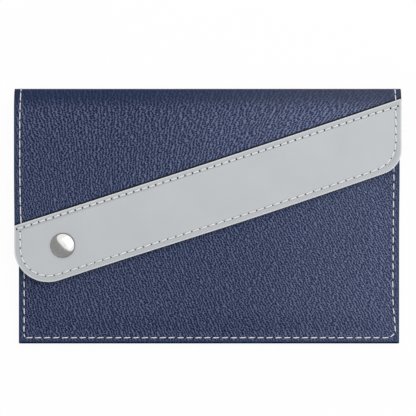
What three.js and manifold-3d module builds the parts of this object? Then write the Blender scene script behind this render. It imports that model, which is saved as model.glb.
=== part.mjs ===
import * as THREE from 'three';
import Module from 'manifold-3d';
import { mergeVertices } from 'three/addons/utils/BufferGeometryUtils.js';

// A car document holder, closed and lying on its back: a flat pocket sewn on three sides, and a flap
// that folds over its front and closes with one press stud. Millimetres, +X to the right, +Y towards
// the fold, +Z out of the front. The origin is in the middle of the face that it rests on.

const wasm = await Module();
wasm.setup();

// Outline
const overallHeight = 157.2;
const flapWidth = 237.8;
const pocketWidth = 234.9;
const pocketShift = 0.8;
const pocketCorner = 0.6;
const mouthDrop = 34.3;

// Plies, from thick to thin, and the free heights between them
const leather = 0.9;
const board = 0.6;
const lining = 0.3;
const slotPly = 0.25;
const plyGap = 0.05;
const pocketRoom = 5.1;
const flapGap = 0.8;

// The pocket is flat in its seam, slopes up to a flat middle, and lies down again above its mouth
const seamAllowance = 6;
const slopeLength = 14;
const slopeCells = 3;
const lyingDownLength = 26;

// Folds at the top, and the boards that end short of them and of the other edges
const foldRadius = 3.5;
const foldSegments = 6;
const boardInset = 6;
const boardClearance = 0.5;

// Slanted band on the flap
const bandAngle = THREE.MathUtils.degToRad(18.3);
const bandWidth = 41.7;
const bandDrop = 84.4;
const studSideCorner = 21;
const farSideCorner = 15.7;
const bandUpperCorner = 0.8;
const cornerSegments = 6;

// Rows of stitches
const threadWidth = 0.8;
const threadHeight = 0.35;
const holeWidth = 0.4;
const holeHeight = 0.12;
const threadGap = 0.05;
const pocketRowInset = 3.3;
const bandRowInset = 3.6;
const flapRowInset = 3.8;
const mouthRowInset = 3;
const pocketStitch = 5.5;
const bandStitch = 4.7;
const flapStitch = 5.8;

// Press stud
const studFromEdge = 27.6;
const capRadius = 7.5;
const capRim = 0.5;
const capDome = 1.7;
const postRadius = 2.1;
const postFlare = 2.9;
const flareHeight = 0.25;
const socketRadius = 6.3;
const socketBarrelRadius = 4.8;
const socketBore = 3.1;
const socketHeight = 2.3;
const socketPlate = 0.4;
const springWire = 0.35;
const springInner = 2.6;
const grooveLip = 0.15;
const studPlateRadius = 5.5;
const studPlate = 0.7;
const studNeck = 2.1;
const studHead = 2.45;
const studWall = 0.4;
const eyeletRadius = 1.6;
const eyeletPlateRadius = 5;
const eyeletPlate = 0.5;
const fit = 0.15;
const hole = 0.3;
const socketRunningGap = 0.25;
const dimpleFlat = 7;
const dimpleReach = 16;
const roundSegments = 28;

// Inside of the pocket
const windowHeight = 64;
const windowSheet = 0.25;
const windowBorder = 6;
const windowDrop = 20.3;
const cardSlots = 3;
const slotWidth = 92;
const windowToSlots = 8;
const slotHeight = 47;
const slotDrop = 12.3;
const slotStep = 8;
const insideMargin = 1;

// Places that follow from the sizes above
const topEdge = overallHeight / 2;
const bottomEdge = -overallHeight / 2;
const flapLeft = -flapWidth / 2;
const flapRight = flapWidth / 2;
const pocketLeft = pocketShift - pocketWidth / 2;
const pocketRight = pocketShift + pocketWidth / 2;
const mouth = topEdge - mouthDrop;
const foldLine = topEdge - foldRadius;
const flatLeft = pocketLeft + seamAllowance + slopeLength;
const flatRight = pocketRight - seamAllowance - slopeLength;
const flatBottom = bottomEdge + seamAllowance + slopeLength;
const bandUpperAt = (x) => topEdge - bandDrop + (x - flapLeft) * Math.tan(bandAngle);
const bandLowerAt = (x) => bandUpperAt(x) - bandWidth / Math.cos(bandAngle);
const studX = pocketLeft + studFromEdge;
const studY = (bandUpperAt(studX) + bandLowerAt(studX)) / 2;

// Heights of the plies that lie on one another, each with the room left above it
function pile(start, plies) {
  const levels = {};
  let height = start;
  for (const [name, thickness, roomAbove] of plies) {
    levels[name] = { bottom: height, top: height + thickness };
    height += thickness + roomAbove;
  }
  return levels;
}

const middle = pile(0, [
  ['backPanel', leather, plyGap],
  ['backBoard', board, plyGap],
  ['backLining', lining, pocketRoom],
  ['frontLining', lining, plyGap],
  ['frontBoard', board, plyGap],
  ['frontPanel', leather, flapGap],
  ['flapLining', lining, plyGap],
  ['flapBoard', board, plyGap],
  ['flapPanel', leather, plyGap],
  ['flapBand', leather, plyGap],
]);
const seamThickness = 2 * leather + 2 * lining + 3 * plyGap;
const seamLift = (middle.frontPanel.top - seamThickness) / 2;
const seam = pile(seamLift, [
  ['backPanel', leather, plyGap],
  ['backLining', lining, plyGap],
  ['frontLining', lining, plyGap],
  ['frontPanel', leather, 0],
]);

// The front is pressed in round the stud, so that the socket has its height under the flap
const socketTop = middle.flapPanel.bottom - plyGap;
const socketBottom = socketTop - socketHeight;
const studBottom = socketBottom - socketRunningGap - studPlate;
const dimpleDepth = middle.frontPanel.top - (studBottom - plyGap);

// Materials
const finish = (color, roughness, metalness = 0) => new THREE.MeshStandardMaterial({ color, roughness, metalness });
const navyLeather = () => finish(0x3e4661, 0.55);
const greyLeather = () => finish(0xbec2c6, 0.6);
const liningCloth = () => finish(0x2b3144, 0.9);
const greyBoard = () => finish(0x8d8272, 0.95);
const whiteThread = () => finish(0xe4e4e8, 0.7);
const nickel = () => finish(0xcfcfd0, 0.22, 1);
const springSteel = () => finish(0x9a9a9c, 0.35, 1);

function clearSheet() {
  const material = finish(0xdfe6ea, 0.12);
  material.transparent = true;
  material.opacity = 0.35;
  return material;
}

const holder = new THREE.Group();

function add(name, geometry, material) {
  const mesh = new THREE.Mesh(geometry, material);
  mesh.name = name;
  holder.add(mesh);
}

// Share of the pillow's full rise at a distance from a sewn edge: a quarter sine in a few straight cells
function rise(distance) {
  const share = THREE.MathUtils.clamp((distance - seamAllowance) / slopeLength, 0, 1) * slopeCells;
  const cell = Math.min(Math.floor(share), slopeCells - 1);
  const at = (step) => Math.sin((step / slopeCells) * Math.PI / 2);
  return THREE.MathUtils.lerp(at(cell), at(cell + 1), share - cell);
}

// 0 in the seam and 1 in the flat middle; above the mouth the sides come down to the flat again
function pillow(x, y) {
  const across = rise(Math.min(x - pocketLeft, pocketRight - x));
  const along = rise(y - bottomEdge);
  const sewn = THREE.MathUtils.clamp(1 - (y - mouth) / lyingDownLength, 0, 1);
  return 1 - (1 - across * along) * sewn;
}

// Share of the pressed-in square round the stud: 1 on its flat floor and 0 outside it
function dimple(x, y) {
  const distance = Math.max(Math.abs(x - studX), Math.abs(y - studY));
  return THREE.MathUtils.clamp((dimpleReach - distance) / (dimpleReach - dimpleFlat), 0, 1);
}

const backHeight = (ply, face) => (x, y) => THREE.MathUtils.lerp(seam[ply][face], middle[ply][face], pillow(x, y));

function frontHeight(ply, face) {
  const floor = middle[ply][face] - dimpleDepth;
  return (x, y) => THREE.MathUtils.lerp(backHeight(ply, face)(x, y), floor, dimple(x, y));
}

// Distances from a sewn edge at which the grid has a line
function slopeLines() {
  const lines = [];
  for (let step = 0; step <= slopeCells; step += 1) {
    lines.push(seamAllowance + (slopeLength * step) / slopeCells);
  }
  return lines;
}

const ascending = (values) => [...values].sort((a, b) => a - b);
const dimpleLines = [-dimpleReach, -dimpleFlat, dimpleFlat, dimpleReach];

const pocketColumns = ascending([
  pocketLeft,
  ...slopeLines().map((distance) => pocketLeft + distance),
  ...dimpleLines.map((distance) => studX + distance),
  ...slopeLines().map((distance) => pocketRight - distance),
  pocketRight,
]);

// Where a column runs in a row: the lower corners of the pocket are rounded, and above its mouth the
// back widens to the flap's width
function columnPlace(x, y) {
  const widening = THREE.MathUtils.clamp((y - mouth) / (lyingDownLength / slopeCells), 0, 1);
  const widened = THREE.MathUtils.mapLinear(x, pocketLeft, pocketRight, flapLeft, flapRight);
  const above = Math.min(y - bottomEdge, pocketCorner);
  const corner = pocketCorner - Math.sqrt(pocketCorner ** 2 - (pocketCorner - above) ** 2);
  const side = { [pocketLeft]: 1, [pocketRight]: -1 }[x] ?? 0;
  return THREE.MathUtils.lerp(x, widened, widening) + side * corner;
}

const pocketRows = ascending([
  bottomEdge,
  bottomEdge + pocketCorner * 0.3,
  bottomEdge + pocketCorner,
  ...slopeLines().map((distance) => bottomEdge + distance),
  ...dimpleLines.map((distance) => studY + distance),
  mouth,
]);

const rowsAboveMouth = [];
for (let step = 1; step <= slopeCells; step += 1) {
  rowsAboveMouth.push(mouth + (lyingDownLength * step) / slopeCells);
}
const backRows = [...pocketRows, ...rowsAboveMouth, foldLine - plyGap];

function bufferGeometry(positions, indices) {
  const geometry = new THREE.BufferGeometry();
  geometry.setAttribute('position', new THREE.Float32BufferAttribute(positions, 3));
  geometry.setIndex(indices);
  geometry.computeVertexNormals();
  return geometry;
}

// A ply as a closed solid over a grid of rows and columns, between its bottom and its top height
function gridPly(rows, bottomAt, topAt) {
  const columns = pocketColumns.length;
  const positions = [];
  for (const heightAt of [bottomAt, topAt]) {
    for (const y of rows) {
      for (const x of pocketColumns) {
        positions.push(columnPlace(x, y), y, heightAt(x, y));
      }
    }
  }
  const indices = [];
  const last = { row: rows.length - 1, column: columns - 1 };
  const at = (level, row, column) => (level * rows.length + row) * columns + column;
  const quad = (a, b, c, d) => indices.push(a, b, c, a, c, d);
  for (let row = 0; row < last.row; row += 1) {
    for (let column = 0; column < last.column; column += 1) {
      quad(at(1, row, column), at(1, row, column + 1), at(1, row + 1, column + 1), at(1, row + 1, column));
      quad(at(0, row, column), at(0, row + 1, column), at(0, row + 1, column + 1), at(0, row, column + 1));
    }
    quad(at(0, row + 1, 0), at(0, row, 0), at(1, row, 0), at(1, row + 1, 0));
    quad(at(0, row, last.column), at(0, row + 1, last.column), at(1, row + 1, last.column), at(1, row, last.column));
  }
  for (let column = 0; column < last.column; column += 1) {
    quad(at(0, 0, column), at(0, 0, column + 1), at(1, 0, column + 1), at(1, 0, column));
    quad(at(0, last.row, column + 1), at(0, last.row, column), at(1, last.row, column), at(1, last.row, column + 1));
  }
  return bufferGeometry(positions, indices);
}

function solidOf(geometry) {
  const bare = geometry.clone();
  bare.deleteAttribute('normal');
  bare.deleteAttribute('uv');
  const merged = mergeVertices(bare);
  const vertProperties = new Float32Array(merged.attributes.position.array);
  const triVerts = new Uint32Array(merged.index.array);
  return new wasm.Manifold(new wasm.Mesh({ numProp: 3, vertProperties, triVerts }));
}

// A ply with a round hole at the stud
function pierced(geometry, radius) {
  const drill = new THREE.CylinderGeometry(radius, radius, middle.flapBand.top, roundSegments);
  drill.rotateX(Math.PI / 2);
  drill.translate(studX, studY, middle.flapBand.top / 2);
  const mesh = solidOf(geometry).subtract(solidOf(drill)).getMesh();
  return bufferGeometry(mesh.vertProperties, Array.from(mesh.triVerts));
}

// Corners of a convex outline moved inwards, each with what is left of its radius
function insetCorners(corners, inset) {
  const edges = corners.map((corner, index) => {
    const next = corners[(index + 1) % corners.length];
    const length = Math.hypot(next.x - corner.x, next.y - corner.y);
    const direction = { x: (next.x - corner.x) / length, y: (next.y - corner.y) / length };
    const start = { x: corner.x - direction.y * inset, y: corner.y + direction.x * inset };
    return { start, direction };
  });
  return corners.map((corner, index) => {
    const before = edges[(index + corners.length - 1) % corners.length];
    const after = edges[index];
    const cross = before.direction.x * after.direction.y - before.direction.y * after.direction.x;
    const dx = after.start.x - before.start.x;
    const dy = after.start.y - before.start.y;
    const along = (dx * after.direction.y - dy * after.direction.x) / cross;
    const x = before.start.x + before.direction.x * along;
    const y = before.start.y + before.direction.y * along;
    return { x, y, radius: Math.max(corner.radius - inset, 0) };
  });
}

// Points of an outline whose corners are rounded to their radii
function roundedOutline(corners) {
  const points = [];
  corners.forEach((corner, index) => {
    const before = corners[(index + corners.length - 1) % corners.length];
    const after = corners[(index + 1) % corners.length];
    const centre = new THREE.Vector2(corner.x, corner.y);
    const inward = new THREE.Vector2(before.x, before.y).sub(centre).normalize();
    const outward = new THREE.Vector2(after.x, after.y).sub(centre).normalize();
    if (corner.radius === 0) {
      points.push(centre);
      return;
    }
    const half = Math.acos(inward.dot(outward)) / 2;
    const tangent = corner.radius / Math.tan(half);
    const middleLine = inward.clone().add(outward).normalize();
    const pivot = centre.clone().addScaledVector(middleLine, corner.radius / Math.sin(half));
    const first = centre.clone().addScaledVector(inward, tangent).sub(pivot);
    const turn = Math.PI - 2 * half;
    for (let step = 0; step <= cornerSegments; step += 1) {
      const arm = first.clone().rotateAround(new THREE.Vector2(), (turn * step) / cornerSegments);
      points.push(arm.add(pivot));
    }
  });
  return points;
}

function flatPly(outline, levels, holeRadius = 0) {
  const shape = new THREE.Shape(outline);
  if (holeRadius > 0) {
    const round = new THREE.Path();
    round.absarc(studX, studY, holeRadius, 0, Math.PI * 2, true);
    shape.holes.push(new THREE.Path(round.getPoints(roundSegments / 2)));
  }
  const depth = levels.top - levels.bottom;
  const geometry = new THREE.ExtrudeGeometry(shape, { depth, bevelEnabled: false });
  geometry.translate(0, 0, levels.bottom);
  return geometry;
}

const rectangle = (left, right, bottom, top) => [
  new THREE.Vector2(left, bottom),
  new THREE.Vector2(right, bottom),
  new THREE.Vector2(right, top),
  new THREE.Vector2(left, top),
];

// Points along a line at which a row of stitches has its holes and the two ends of each hump
function stitchStations(path, closed, pitch) {
  const line = closed ? [...path, path[0]] : path;
  const reach = [0];
  for (let index = 1; index < line.length; index += 1) {
    reach.push(reach[index - 1] + line[index].distanceTo(line[index - 1]));
  }
  const total = reach[reach.length - 1];
  const stitches = Math.round(total / pitch);
  const humpEnds = [0, 0.2, 0.8];
  const stations = [];
  for (let stitch = 0; stitch < stitches; stitch += 1) {
    for (const share of humpEnds) {
      const distance = ((stitch + share) / stitches) * total;
      const next = reach.findIndex((value) => value > distance);
      const part = (distance - reach[next - 1]) / (reach[next] - reach[next - 1]);
      const point = line[next - 1].clone().lerp(line[next], part);
      stations.push({ point, raised: share > 0 });
    }
  }
  if (!closed) {
    stations.push({ point: line[line.length - 1].clone(), raised: false });
  }
  return stations;
}

const plainStations = (path) => path.map((point) => ({ point, raised: true }));

// Thread as one unbroken ribbon on a surface: wide and high on its humps, thin at the holes.
// Side 1 lies on top of the surface and side -1 hangs under it.
function threadRibbon(stations, closed, surfaceAt, side = 1) {
  const count = stations.length;
  const positions = [];
  stations.forEach(({ point, raised }, index) => {
    const before = stations[closed ? (index + count - 1) % count : Math.max(index - 1, 0)].point;
    const after = stations[closed ? (index + 1) % count : Math.min(index + 1, count - 1)].point;
    const along = after.clone().sub(before).normalize();
    const half = (raised ? threadWidth : holeWidth) / 2;
    const height = raised ? threadHeight : holeHeight;
    const floor = surfaceAt(point.x, point.y) + side * threadGap;
    const section = [[-half, 0], [half, 0], [half * 0.6, height], [-half * 0.6, height]];
    for (const [offset, lift] of section) {
      const across = offset * side;
      positions.push(point.x + along.y * across, point.y - along.x * across, floor + side * lift);
    }
  });
  const indices = [];
  const sections = closed ? count : count - 1;
  for (let index = 0; index < sections; index += 1) {
    const here = index * 4;
    const there = ((index + 1) % count) * 4;
    for (let edge = 0; edge < 4; edge += 1) {
      const next = (edge + 1) % 4;
      indices.push(here + edge, there + next, here + next, here + edge, there + edge, there + next);
    }
  }
  if (!closed) {
    const end = (count - 1) * 4;
    indices.push(0, 1, 2, 0, 2, 3, end + 2, end + 1, end, end + 3, end + 2, end);
  }
  return bufferGeometry(positions, indices);
}

// A turned piece at the stud from its radii and heights
function turned(profile) {
  const points = profile.map(([radius, height]) => new THREE.Vector2(radius, height));
  const geometry = new THREE.LatheGeometry(points, roundSegments);
  geometry.rotateX(Math.PI / 2);
  geometry.translate(studX, studY, 0);
  return geometry;
}

// Quarter-round strip of leather over a fold, from one angle to the next, along the whole width
function foldStrip(centreHeight, fromAngle) {
  const shape = new THREE.Shape();
  const inner = foldRadius - leather;
  shape.absarc(foldLine, centreHeight, foldRadius, fromAngle, fromAngle + Math.PI / 2, false);
  shape.absarc(foldLine, centreHeight, inner, fromAngle + Math.PI / 2, fromAngle, true);
  const outline = new THREE.Shape(shape.getPoints(foldSegments));
  const geometry = new THREE.ExtrudeGeometry(outline, { depth: flapWidth, bevelEnabled: false });
  const lengthwise = new THREE.Matrix4().makeBasis(
    new THREE.Vector3(0, 1, 0),
    new THREE.Vector3(0, 0, 1),
    new THREE.Vector3(1, 0, 0),
  );
  geometry.applyMatrix4(lengthwise);
  geometry.translate(flapLeft, 0, 0);
  return geometry;
}

function addBack() {
  const panel = gridPly(backRows, backHeight('backPanel', 'bottom'), backHeight('backPanel', 'top'));
  add('back_panel', panel, navyLeather());
  const boardOutline = rectangle(flatLeft, flatRight, flatBottom, foldLine - boardInset);
  add('back_board', flatPly(boardOutline, middle.backBoard), greyBoard());
  const inside = gridPly(backRows, backHeight('backLining', 'bottom'), backHeight('backLining', 'top'));
  add('back_lining', inside, liningCloth());
}

function addWindowPocket() {
  const left = flatLeft + insideMargin;
  const right = flatRight - insideMargin - slotWidth - windowToSlots;
  const top = topEdge - windowDrop;
  const bottom = top - windowHeight;
  const sheet = { bottom: middle.backLining.top + plyGap, top: middle.backLining.top + plyGap + windowSheet };
  const frame = { bottom: sheet.top + plyGap, top: sheet.top + plyGap + lining };
  add('window_sheet', flatPly(rectangle(left, right, bottom, top), sheet), clearSheet());
  const border = [
    new THREE.Vector2(left, bottom),
    new THREE.Vector2(right, bottom),
    new THREE.Vector2(right, top),
    new THREE.Vector2(right - windowBorder, top),
    new THREE.Vector2(right - windowBorder, bottom + windowBorder),
    new THREE.Vector2(left + windowBorder, bottom + windowBorder),
    new THREE.Vector2(left + windowBorder, top),
    new THREE.Vector2(left, top),
  ];
  add('window_frame', flatPly(border, frame), navyLeather());
}

function addCardSlots() {
  const right = flatRight - insideMargin;
  for (let slot = 0; slot < cardSlots; slot += 1) {
    const top = topEdge - slotDrop - slot * slotStep;
    const height = middle.backLining.top + plyGap + slot * (slotPly + plyGap);
    const outline = rectangle(right - slotWidth, right, top - slotHeight, top);
    add(`card_slot_${slot + 1}`, flatPly(outline, { bottom: height, top: height + slotPly }), liningCloth());
  }
}

function addFront() {
  const inside = gridPly(pocketRows, frontHeight('frontLining', 'bottom'), frontHeight('frontLining', 'top'));
  add('front_lining', pierced(inside, eyeletRadius + hole), liningCloth());
  const notch = {
    right: studX + dimpleReach + boardClearance,
    bottom: studY - dimpleReach - boardClearance,
    top: studY + dimpleReach + boardClearance,
  };
  const boardOutline = [
    new THREE.Vector2(flatLeft, flatBottom),
    new THREE.Vector2(flatRight, flatBottom),
    new THREE.Vector2(flatRight, mouth - boardInset),
    new THREE.Vector2(flatLeft, mouth - boardInset),
    new THREE.Vector2(flatLeft, notch.top),
    new THREE.Vector2(notch.right, notch.top),
    new THREE.Vector2(notch.right, notch.bottom),
    new THREE.Vector2(flatLeft, notch.bottom),
  ];
  add('front_board', flatPly(boardOutline, middle.frontBoard), greyBoard());
  const panel = gridPly(pocketRows, frontHeight('frontPanel', 'bottom'), frontHeight('frontPanel', 'top'));
  add('front_panel', pierced(panel, eyeletRadius + hole), navyLeather());
}

// The row down one side of the pocket, along its bottom and up the other side
function addPocketThreads() {
  const left = pocketLeft + pocketRowInset;
  const right = pocketRight - pocketRowInset;
  const bottom = bottomEdge + pocketRowInset;
  const path = [
    new THREE.Vector2(left, mouth - threadWidth),
    new THREE.Vector2(left, bottom),
    new THREE.Vector2(right, bottom),
    new THREE.Vector2(right, mouth - threadWidth),
  ];
  const upper = threadRibbon(stitchStations(path, false, pocketStitch), false, () => seam.frontPanel.top);
  add('pocket_thread', upper, whiteThread());
  const under = threadRibbon(plainStations(path), false, () => seam.backPanel.bottom, -1);
  add('pocket_thread_under', under, whiteThread());
}

function addMouthThread() {
  const y = mouth - mouthRowInset;
  const columns = pocketColumns.filter((x) => x > pocketLeft && x < pocketRight);
  const path = columns.map((x) => new THREE.Vector2(x, y));
  const row = threadRibbon(plainStations(path), false, frontHeight('frontPanel', 'top'));
  add('mouth_thread', row, whiteThread());
}

function addSpine() {
  add('back_fold', foldStrip(middle.backPanel.bottom + foldRadius, -Math.PI / 2), navyLeather());
  const bottom = middle.backPanel.bottom + foldRadius + plyGap;
  const top = middle.flapPanel.top - foldRadius - plyGap;
  const panel = new THREE.BoxGeometry(flapWidth, leather, top - bottom);
  panel.translate(0, topEdge - leather / 2, (top + bottom) / 2);
  add('spine_panel', panel, navyLeather());
  const inside = new THREE.BoxGeometry(flapWidth, lining, top - bottom);
  inside.translate(0, topEdge - leather - plyGap - lining / 2, (top + bottom) / 2);
  add('spine_lining', inside, liningCloth());
  add('flap_fold', foldStrip(middle.flapPanel.top - foldRadius, 0), navyLeather());
}

const flapCorners = [
  { x: flapLeft, y: bandLowerAt(flapLeft), radius: studSideCorner },
  { x: flapRight, y: bandLowerAt(flapRight), radius: farSideCorner },
  { x: flapRight, y: foldLine - plyGap, radius: 0 },
  { x: flapLeft, y: foldLine - plyGap, radius: 0 },
];
const bandCorners = [
  { x: flapLeft, y: bandLowerAt(flapLeft), radius: studSideCorner },
  { x: flapRight, y: bandLowerAt(flapRight), radius: farSideCorner },
  { x: flapRight, y: bandUpperAt(flapRight), radius: bandUpperCorner },
  { x: flapLeft, y: bandUpperAt(flapLeft), radius: bandUpperCorner },
];

function addFlap() {
  const outline = roundedOutline(flapCorners);
  add('flap_lining', flatPly(outline, middle.flapLining, socketRadius + hole), liningCloth());
  const boardOutline = roundedOutline(insetCorners(flapCorners, boardInset));
  add('flap_board', flatPly(boardOutline, middle.flapBoard, socketRadius + hole), greyBoard());
  add('flap_panel', flatPly(outline, middle.flapPanel, postRadius + hole), navyLeather());
  add('flap_band', flatPly(roundedOutline(bandCorners), middle.flapBand, postRadius + hole), greyLeather());
}

function addFlapThreads() {
  const loop = roundedOutline(insetCorners(bandCorners, bandRowInset));
  const upper = threadRibbon(stitchStations(loop, true, bandStitch), true, () => middle.flapBand.top);
  add('band_thread', upper, whiteThread());
  const under = threadRibbon(plainStations(loop), true, () => middle.flapLining.bottom, -1);
  add('band_thread_under', under, whiteThread());
  const x = flapLeft + flapRowInset;
  const side = [new THREE.Vector2(x, foldLine - threadWidth), new THREE.Vector2(x, bandUpperAt(x) + threadWidth)];
  const row = threadRibbon(stitchStations(side, false, flapStitch), false, () => middle.flapPanel.top);
  add('flap_side_thread', row, whiteThread());
}

// Cap with its post through the band and the flap, clenched in the socket
function addCap() {
  const seat = middle.flapBand.top + plyGap;
  const flareTop = socketTop - socketPlate - plyGap;
  const profile = [
    [0, flareTop - flareHeight],
    [postFlare, flareTop - flareHeight],
    [postFlare, flareTop],
    [postRadius, flareTop],
    [postRadius, seat],
    [capRadius - capRim, seat],
    [capRadius, seat + capRim / 3],
  ];
  const domeSteps = 6;
  for (let step = 0; step < domeSteps; step += 1) {
    const angle = (step / domeSteps) * Math.PI / 2;
    profile.push([capRadius * Math.cos(angle), seat + capRim + capDome * Math.sin(angle)]);
  }
  profile.push([0, seat + capRim + capDome]);
  add('snap_cap', turned(profile), nickel());
}

const springBottom = socketBottom + grooveLip;

function addSocket() {
  const grooveRadius = springInner + springWire + fit;
  const profile = [
    [socketBore, socketBottom],
    [socketBarrelRadius, socketBottom],
    [socketBarrelRadius, socketTop - socketPlate],
    [socketRadius, socketTop - socketPlate],
    [socketRadius, socketTop],
    [postRadius + fit, socketTop],
    [postRadius + fit, socketTop - socketPlate],
    [grooveRadius, socketTop - socketPlate],
    [grooveRadius, springBottom - plyGap],
    [socketBore, springBottom - plyGap],
    [socketBore, socketBottom],
  ];
  add('snap_socket', turned(profile), nickel());
  const spring = [
    [springInner, springBottom],
    [springInner + springWire, springBottom],
    [springInner + springWire, springBottom + springWire],
    [springInner, springBottom + springWire],
    [springInner, springBottom],
  ];
  add('snap_spring', turned(spring), springSteel());
}

function addStud() {
  const bore = eyeletRadius + fit;
  const headHeight = springBottom + springWire + fit;
  const top = socketTop - socketPlate - flareHeight - 2 * plyGap - fit;
  const profile = [
    [0, top - studWall],
    [bore, top - studWall],
    [bore, studBottom],
    [studPlateRadius, studBottom],
    [studPlateRadius, studBottom + studPlate],
    [studNeck, studBottom + studPlate],
    [studNeck, headHeight - fit],
    [studHead, headHeight],
    [studHead, (headHeight + top) / 2],
    [studNeck, top],
    [0, top],
  ];
  add('snap_stud', turned(profile), nickel());
  const plateTop = middle.frontLining.bottom - dimpleDepth - plyGap;
  const eyelet = [
    [0, plateTop - eyeletPlate],
    [eyeletPlateRadius, plateTop - eyeletPlate],
    [eyeletPlateRadius, plateTop],
    [eyeletRadius, plateTop],
    [eyeletRadius, top - studWall - fit],
    [0, top - studWall - fit],
  ];
  add('stud_rivet', turned(eyelet), nickel());
}

addBack();
addWindowPocket();
addCardSlots();
addFront();
addPocketThreads();
addMouthThread();
addSpine();
addFlap();
addFlapThreads();
addCap();
addSocket();
addStud();

export default holder;
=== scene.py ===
import math

import bpy
import numpy as np
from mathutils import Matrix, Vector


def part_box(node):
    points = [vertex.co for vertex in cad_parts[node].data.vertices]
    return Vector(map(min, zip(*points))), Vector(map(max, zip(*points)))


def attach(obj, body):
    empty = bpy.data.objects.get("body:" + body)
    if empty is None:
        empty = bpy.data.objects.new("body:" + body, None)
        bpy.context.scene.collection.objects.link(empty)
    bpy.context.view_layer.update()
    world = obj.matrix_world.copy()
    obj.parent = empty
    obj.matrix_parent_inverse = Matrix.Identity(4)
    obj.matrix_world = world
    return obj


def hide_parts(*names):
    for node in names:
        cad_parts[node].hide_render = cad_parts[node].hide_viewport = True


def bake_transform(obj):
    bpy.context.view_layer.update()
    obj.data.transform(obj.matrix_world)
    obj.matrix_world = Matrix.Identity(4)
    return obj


# A car document holder lying closed on its back: a sewn leather pocket and a banded flap with a press
# stud. Sizes are in millimetres, and the meshes are made in metres. A pattern point is (x, s): x runs
# along the top fold, and s runs up the leather and on over the fold, as if the leather lay flat.

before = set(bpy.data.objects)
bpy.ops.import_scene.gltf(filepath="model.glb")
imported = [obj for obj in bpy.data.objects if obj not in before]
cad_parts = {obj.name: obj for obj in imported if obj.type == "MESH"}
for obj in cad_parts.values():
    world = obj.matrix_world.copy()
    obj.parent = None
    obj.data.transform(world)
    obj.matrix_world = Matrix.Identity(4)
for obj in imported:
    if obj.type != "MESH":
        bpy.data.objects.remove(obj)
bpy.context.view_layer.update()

MM = 0.001


def box_of(node):
    """Lowest and highest corner of a solid, in millimetres."""
    low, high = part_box(node)
    return np.array(low) / MM, np.array(high) / MM


def linear(*colour):
    """A colour of 0 to 255 as the linear colour that a shader takes."""
    share = np.array(colour) / 255
    values = np.where(share <= 0.04045, share / 12.92, ((share + 0.055) / 1.055) ** 2.4)
    return (*values.tolist(), 1.0)


# Places and plies taken from the frame
front_low, front_high = box_of("front_panel")
flap_low, flap_high = box_of("flap_panel")
cap_low, cap_high = box_of("snap_cap")
TOP_EDGE = box_of("spine_panel")[1][1]
BOTTOM_EDGE = box_of("back_panel")[0][1]
MOUTH = front_high[1]
POCKET_LEFT, POCKET_RIGHT = front_low[0], front_high[0]
FLAP_LEFT, FLAP_RIGHT = flap_low[0], flap_high[0]
FLAP_TOP = flap_high[2]
FRONT_TOP = front_high[2]
BAND_TOP = box_of("flap_band")[1][2]
LEATHER = flap_high[2] - flap_low[2]
LINING = np.ptp([corner[2] for corner in box_of("flap_lining")])
BOARD = np.ptp([corner[2] for corner in box_of("flap_board")])
STUD = (cap_low[:2] + cap_high[:2]) / 2
CAP_RADIUS = (cap_high[0] - cap_low[0]) / 2

# Shape of the pocket, the folds and the band
PLY_GAP = 0.05
SEAM_ALLOWANCE = 6
SLOPE_LENGTH = 14
LYING_DOWN = 26
FOLD_RADIUS = 3.5
BOARD_INSET = 6
BAND_ANGLE = math.radians(18.3)
BAND_WIDTH = 41.7
BAND_DROP = 84.4
BAND_FADING = 18
SIDE_BULGE = 0.3
BULGE_START = -15
BULGE_RISE = 45
BULGE_END = 12
STUD_SIDE_CORNER = 21
FAR_SIDE_CORNER = 15.7
SMALL_CORNER = 0.8
POCKET_CORNER = 0.6
SQUARE_CORNER = 0.05
DIMPLE_FLAT = 7
DIMPLE_REACH = 16
DIMPLE_DEPTH = FRONT_TOP - (box_of("snap_stud")[0][2] - PLY_GAP)

BULGE_TOP = TOP_EDGE + 1.4
FOLD_LINE = TOP_EDGE - FOLD_RADIUS
FOLD_MIDDLE = FOLD_RADIUS - LEATHER / 2
FOLD_ARC = FOLD_MIDDLE * math.pi / 2
MID_SPINE = FOLD_LINE + FOLD_ARC + FLAP_TOP / 2 - FOLD_RADIUS
SEAM_THICKNESS = 2 * LEATHER + 2 * LINING + 3 * PLY_GAP
SEAM_LIFT = (FRONT_TOP - SEAM_THICKNESS) / 2
SEAM_TOP = SEAM_LIFT + SEAM_THICKNESS
BESIDE_LEATHER = LEATHER + PLY_GAP
BESIDE_BOARD = BESIDE_LEATHER + BOARD + PLY_GAP

# Holes through the plies round the press stud
CAP_POST_HOLE = 2.4
SOCKET_HOLE = 6.6
EYELET_HOLE = 1.9

# Window and card slots
WINDOW_BORDER = 6
WINDOW_CORNER = 1
STRIP_CORNER = 0.5
SLOT_CORNER = 0.8

# Stitches
THREAD_WIDTH = 0.7
THREAD_HEIGHT = 0.42
POCKET_ROW = 3.3
POCKET_TACK = 2.0
BAND_ROW = 3.6
FLAP_ROW = 3.8
MOUTH_ROW = 3
MOUTH_ROW_END = 7
WINDOW_ROW = 1.5
SLOT_ROW = 1.6
POCKET_PITCH = 5.5
BAND_PITCH = 4.7
LOWER_BAND_PITCH = 5.2
FLAP_PITCH = 5.8
RIGHT_FLAP_PITCH = 4.2
MOUTH_PITCH = 5
WINDOW_PITCH = 3.6
SLOT_PITCH = 3.2
POCKET_LEAN = math.radians(3)
BAND_LEAN = math.radians(4)
NEEDLE = 0.42
BAND_NEEDLE = 0.76
LOWER_BAND_NEEDLE = 0.52
FLAP_NEEDLE = 0.3

# Row under the band's upper edge: places along X, and the row's inset from the edge there
UPPER_BAND_ROW = ((-117.3, 2.6), (-81, 2.4), (-16, 2.95), (47, 3.45), (89, 3.3), (116.6, 3.8))

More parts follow.
